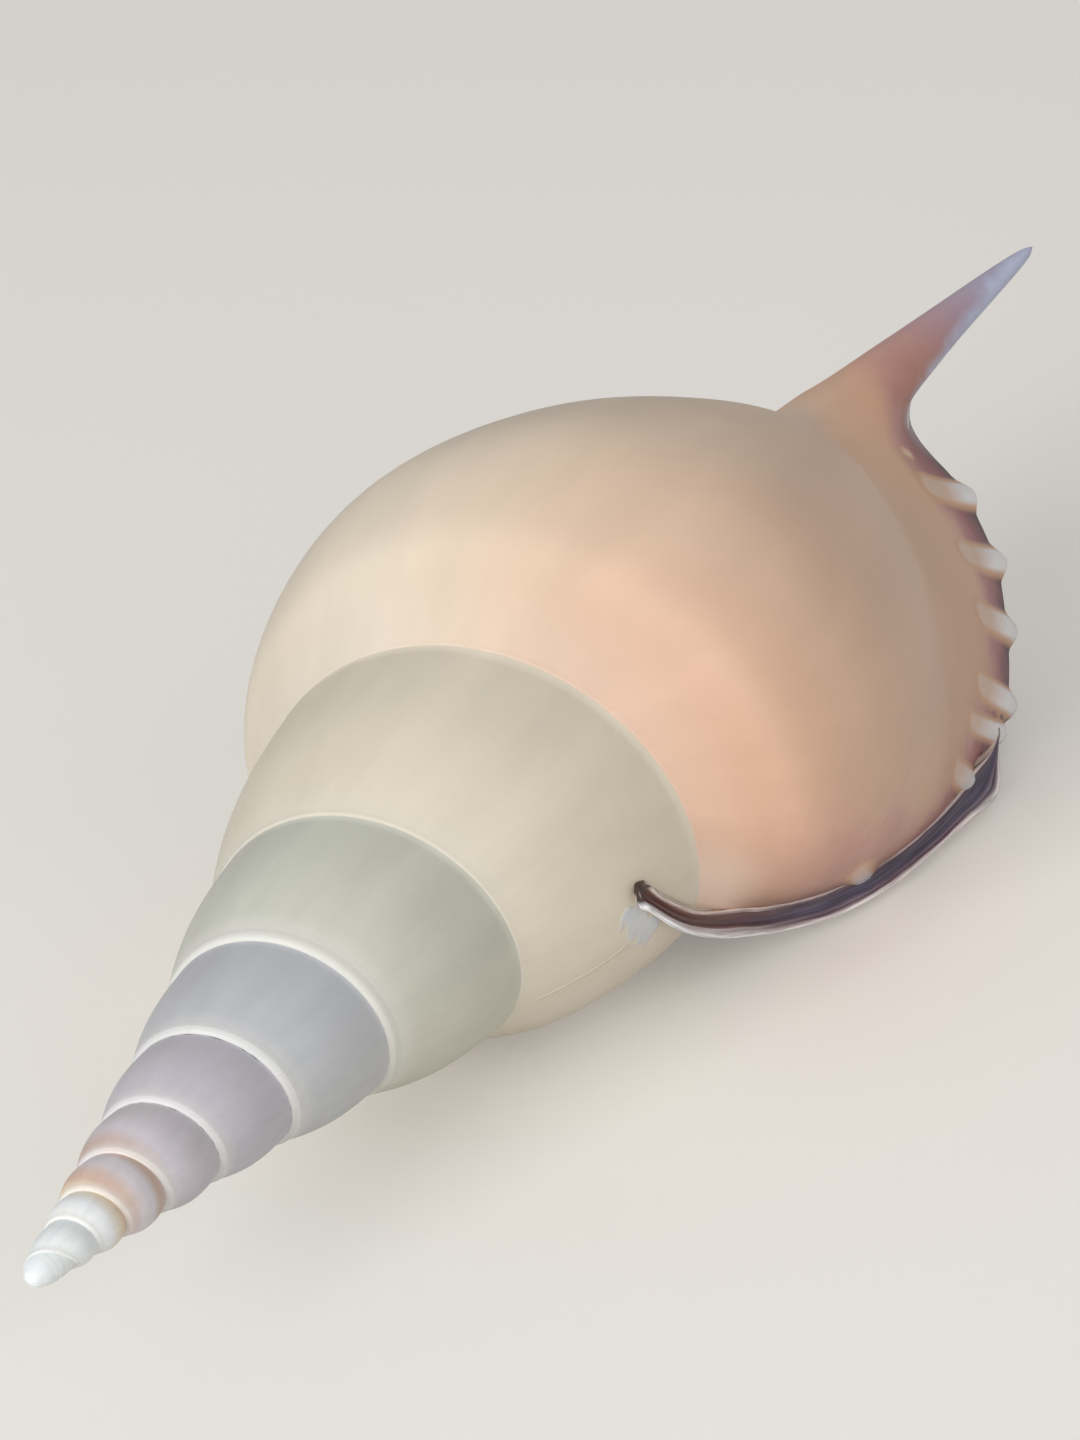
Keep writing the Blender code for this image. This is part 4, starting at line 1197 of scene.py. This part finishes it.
def band_material():
    """Aragonite glaze on the rim: glassy dark purple between two pale threads, redder toward the hook, where
    the channel's dark is partly painted shade.
    """
    made = bpy.data.materials.new("aragonite_rim_glaze")
    made.use_nodes = True
    tree = made.node_tree
    surface = tree.nodes["Principled BSDF"]
    surface.inputs["Roughness"].default_value = 0.30
    face, along = (
        add(tree, "ShaderNodeAttribute", attribute_name=name).outputs["Fac"] for name in ("face", "along"))
    place_at = add(tree, "ShaderNodeTexCoord").outputs["Object"]
    wander = add(tree, "ShaderNodeTexNoise", inputs={"Vector": place_at, "Scale": 260.0, "Detail": 3.0})
    wander = add(tree, "ShaderNodeMapRange", wander.outputs["Fac"], 0.3, 0.7, -0.025, 0.025)
    drifted = add(tree, "ShaderNodeMath", face, wander, operation="ADD")
    drifted = add(tree, "ShaderNodeMath", drifted, 0.5, operation="MULTIPLY")
    ground, hook = (
        add(tree, "ShaderNodeValToRGB", drifted, name=name, stops=stops).outputs["Color"]
        for name, stops in (
            ("Across", (
                (0.000, "#C9A79C"), (0.020, "#EFDFDC"), (0.050, "#E6D2D0"), (0.075, "#6A5764"),
                (0.200, "#645D70"), (0.300, "#585167"), (0.355, "#92808F"), (0.380, "#544B5B"),
                (0.410, "#B2A1A7"), (0.435, "#F6EEF0"), (0.530, "#F4ECEE"), (0.580, "#E4D8D2"),
                (0.700, "#E8DDD2"), (1.000, "#E9DED2"))),
            # Across the hook the channel is dark red-brown: partly its own colour and partly painted shade of
            # the channel's depth
            ("Across the Hook With Painted Channel Shade", (
                (0.000, "#D9C3B4"), (0.020, "#F0E2DA"), (0.065, "#E6D0C8"), (0.090, "#7A4538"),
                (0.180, "#5E2A22"), (0.295, "#4F2129"), (0.325, "#A58784"), (0.345, "#F8FAFF"),
                (0.545, "#F8FAFF"), (0.600, "#CFC6BC"), (1.000, "#C9C0B4")))))

    # The hook's tip is dark, on its face and at its very end
    capped = add(tree, "ShaderNodeMapRange", along, 1.5, 0.8, 0.0, 1.0)
    on_face = add(tree, "ShaderNodeMapRange", face, 0.82, 0.66, 0.0, 1.0)
    capped = add(tree, "ShaderNodeMath", capped, on_face, operation="MULTIPLY")
    at_tip = add(tree, "ShaderNodeMapRange", along, 0.9, 0.5, 0.0, 1.0)
    capped = add(tree, "ShaderNodeMath", capped, at_tip, operation="MAXIMUM")
    colour, _ = laid_over(tree, ground, (
        ("Hook", hook, ((along, 30.0, 12.0, 0.0, 1.0, SOFT),)),
        ("Dark Tip", "#43332F", ((capped,),)),
    ))

    # Streaks run along the band
    streaks = add(tree, "ShaderNodeCombineXYZ", along, drifted, 0.0)
    streaks = add(tree, "ShaderNodeMapping", streaks, inputs={"Scale": (0.20, 26.0, 1.0)})
    streaks = add(tree, "ShaderNodeTexNoise", inputs={"Vector": streaks, "Scale": 1.0, "Detail": 2.0})
    streak = add(tree, "ShaderNodeMapRange", streaks.outputs["Fac"], 0.32, 0.68, 0.60, 1.34)
    colour = add(tree, "ShaderNodeVectorMath", colour, operation="SCALE", inputs={"Scale": streak})
    tree.links.new(colour.outputs["Vector"], surface.inputs["Base Color"])
    bump = add(
        tree, "ShaderNodeBump",
        inputs={"Strength": 0.4, "Distance": 0.04 * MM, "Height": streaks.outputs["Fac"]})
    tree.links.new(bump.outputs["Normal"], surface.inputs["Normal"])
    return made


def laid_at_rest(obj, matrix):
    """Moves a finished mesh from the shell's own frame to its rest, and names its body."""
    obj.data.transform(matrix)
    obj.data.update()
    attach(obj, "root")


class SHELL_OT_shell(bpy.types.Operator):
    """Grow the coil, weld it to the last whorl and raise the lip's teeth"""

    bl_idname = "tibia.shell"
    bl_label = "Shell"

    def execute(self, context):
        coil, lip = context.scene.tibia_coil, context.scene.tibia_lip
        skin, columns, inside = last_whorl_skin(coil, lip)
        base = bpy.data.objects.new("last_whorl", skin.mesh("last_whorl"))
        axes = tooth_axes(columns, inside)
        for made in (base, axes):
            context.scene.collection.objects.link(made)
        grow(base, grown_tree(coil, lip), tooth_axes=axes, material=shell_material())
        shell = made_plain(base, "grown_shell")
        bpy.data.objects.remove(axes)
        glaze(shell.data)
        laid_at_rest(shell, rest_matrix())
        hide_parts("shell")
        return {"FINISHED"}


class SHELL_OT_lip_band(bpy.types.Operator):
    """Sweep the rim's dark face with its pale edges, on into the hook"""

    bl_idname = "tibia.lip_band"
    bl_label = "Lip Band and Hook"

    def execute(self, context):
        lip = context.scene.tibia_lip
        path, section = band_path(), band_section()
        for made in (path, section):
            context.scene.collection.objects.link(made)
        grow(path, band_tree(), section=section, band_relief=lip.band_relief, material=band_material())
        band = made_plain(path, "lip_band_and_hook")
        bpy.data.objects.remove(section)
        laid_at_rest(band, rest_matrix())
        return {"FINISHED"}


class SHELL_OT_stage(bpy.types.Operator):
    """Lay the pale floor, and set the camera and the soft lamps"""

    bl_idname = "tibia.stage"
    bl_label = "Stage"

    def execute(self, context):
        stage = context.scene.tibia_stage
        mesh = bpy.data.meshes.new("floor")
        corners = [(x * FLOOR_HALF, y * FLOOR_HALF, 0) for x, y in ((-1, -1), (1, -1), (1, 1), (-1, 1))]
        mesh.from_pydata(corners, [], [(0, 1, 2, 3)])
        floor = bpy.data.objects.new("floor", mesh)
        context.scene.collection.objects.link(floor)
        paint = bpy.data.materials.new("matte_floor")
        paint.use_nodes = True
        surface = paint.node_tree.nodes["Principled BSDF"]
        surface.inputs["Base Color"].default_value = (*stage.floor, 1.0)
        surface.inputs["Roughness"].default_value = 0.9
        surface.inputs["Emission Color"].default_value = (*stage.floor, 1.0)
        seen = add(paint.node_tree, "ShaderNodeLightPath").outputs["Is Camera Ray"]
        glow = add(paint.node_tree, "ShaderNodeMath", seen, FLOOR_GLOW, operation="MULTIPLY")
        paint.node_tree.links.new(glow.outputs[0], surface.inputs["Emission Strength"])
        mesh.materials.append(paint)

        camera = bpy.data.objects.new("camera", bpy.data.cameras.new("camera"))
        context.scene.collection.objects.link(camera)
        camera.data.lens = stage.lens
        camera.data.clip_start = 0.01
        camera.location = stage.camera_place
        look = Vector(stage.camera_aim) - Vector(stage.camera_place)
        turned = look.to_track_quat("-Z", "Y") @ Matrix.Rotation(stage.camera_roll, 3, "Z").to_quaternion()
        camera.rotation_mode = "QUATERNION"
        camera.rotation_quaternion = turned
        context.scene.camera = camera

        for name, place_at, size, power in LAMPS:
            lamp = bpy.data.objects.new(name, bpy.data.lights.new(name, "AREA"))
            lamp.data.size, lamp.data.energy = size, power
            lamp.location = place_at
            lamp.rotation_mode = "QUATERNION"
            lamp.rotation_quaternion = (-Vector(place_at)).to_track_quat("-Z", "Y")
            context.scene.collection.objects.link(lamp)

        world = bpy.data.worlds.new("studio")
        world.use_nodes = True
        context.scene.world = world
        sky = world.node_tree.nodes["Background"]
        sky.inputs["Color"].default_value = linear("#F4F3F1")
        sky.inputs["Strength"].default_value = WORLD_LIGHT
        context.scene.view_settings.view_transform = "Standard"
        return {"FINISHED"}


class SHELL_PT_panel(bpy.types.Panel):
    """Lists the shell's pieces"""

    bl_idname = "SHELL_PT_panel"
    bl_label = "Tibia Shell"
    bl_space_type = "VIEW_3D"
    bl_region_type = "UI"
    bl_category = "Tibia Shell"

    def draw(self, context):
        for piece in PIECES:
            self.layout.operator(piece.bl_idname)
        for group in ("tibia_coil", "tibia_lip", "tibia_stage"):
            sizes = getattr(context.scene, group)
            for name in sizes.bl_rna.properties.keys():
                if name not in ("rna_type", "name"):
                    self.layout.prop(sizes, name)


PIECES = (SHELL_OT_shell, SHELL_OT_lip_band, SHELL_OT_stage)
GROUPS = {"tibia_coil": CoilSizes, "tibia_lip": LipSizes, "tibia_stage": StageSettings}


def register():
    for made in (*GROUPS.values(), *PIECES, SHELL_PT_panel):
        bpy.utils.register_class(made)
    for name, group in GROUPS.items():
        setattr(bpy.types.Scene, name, bpy.props.PointerProperty(type=group))


def unregister():
    for name in GROUPS:
        delattr(bpy.types.Scene, name)
    for made in (SHELL_PT_panel, *reversed(PIECES), *reversed(list(GROUPS.values()))):
        bpy.utils.unregister_class(made)


def main():
    """Builds the pieces in order."""
    for name in ("Cube", "Light", "Camera"):
        if name in bpy.data.objects:
            bpy.data.objects.remove(bpy.data.objects[name])
    register()
    for piece in PIECES:
        group, name = piece.bl_idname.split(".")
        getattr(getattr(bpy.ops, group), name)()


if __name__ == "__main__":
    main()
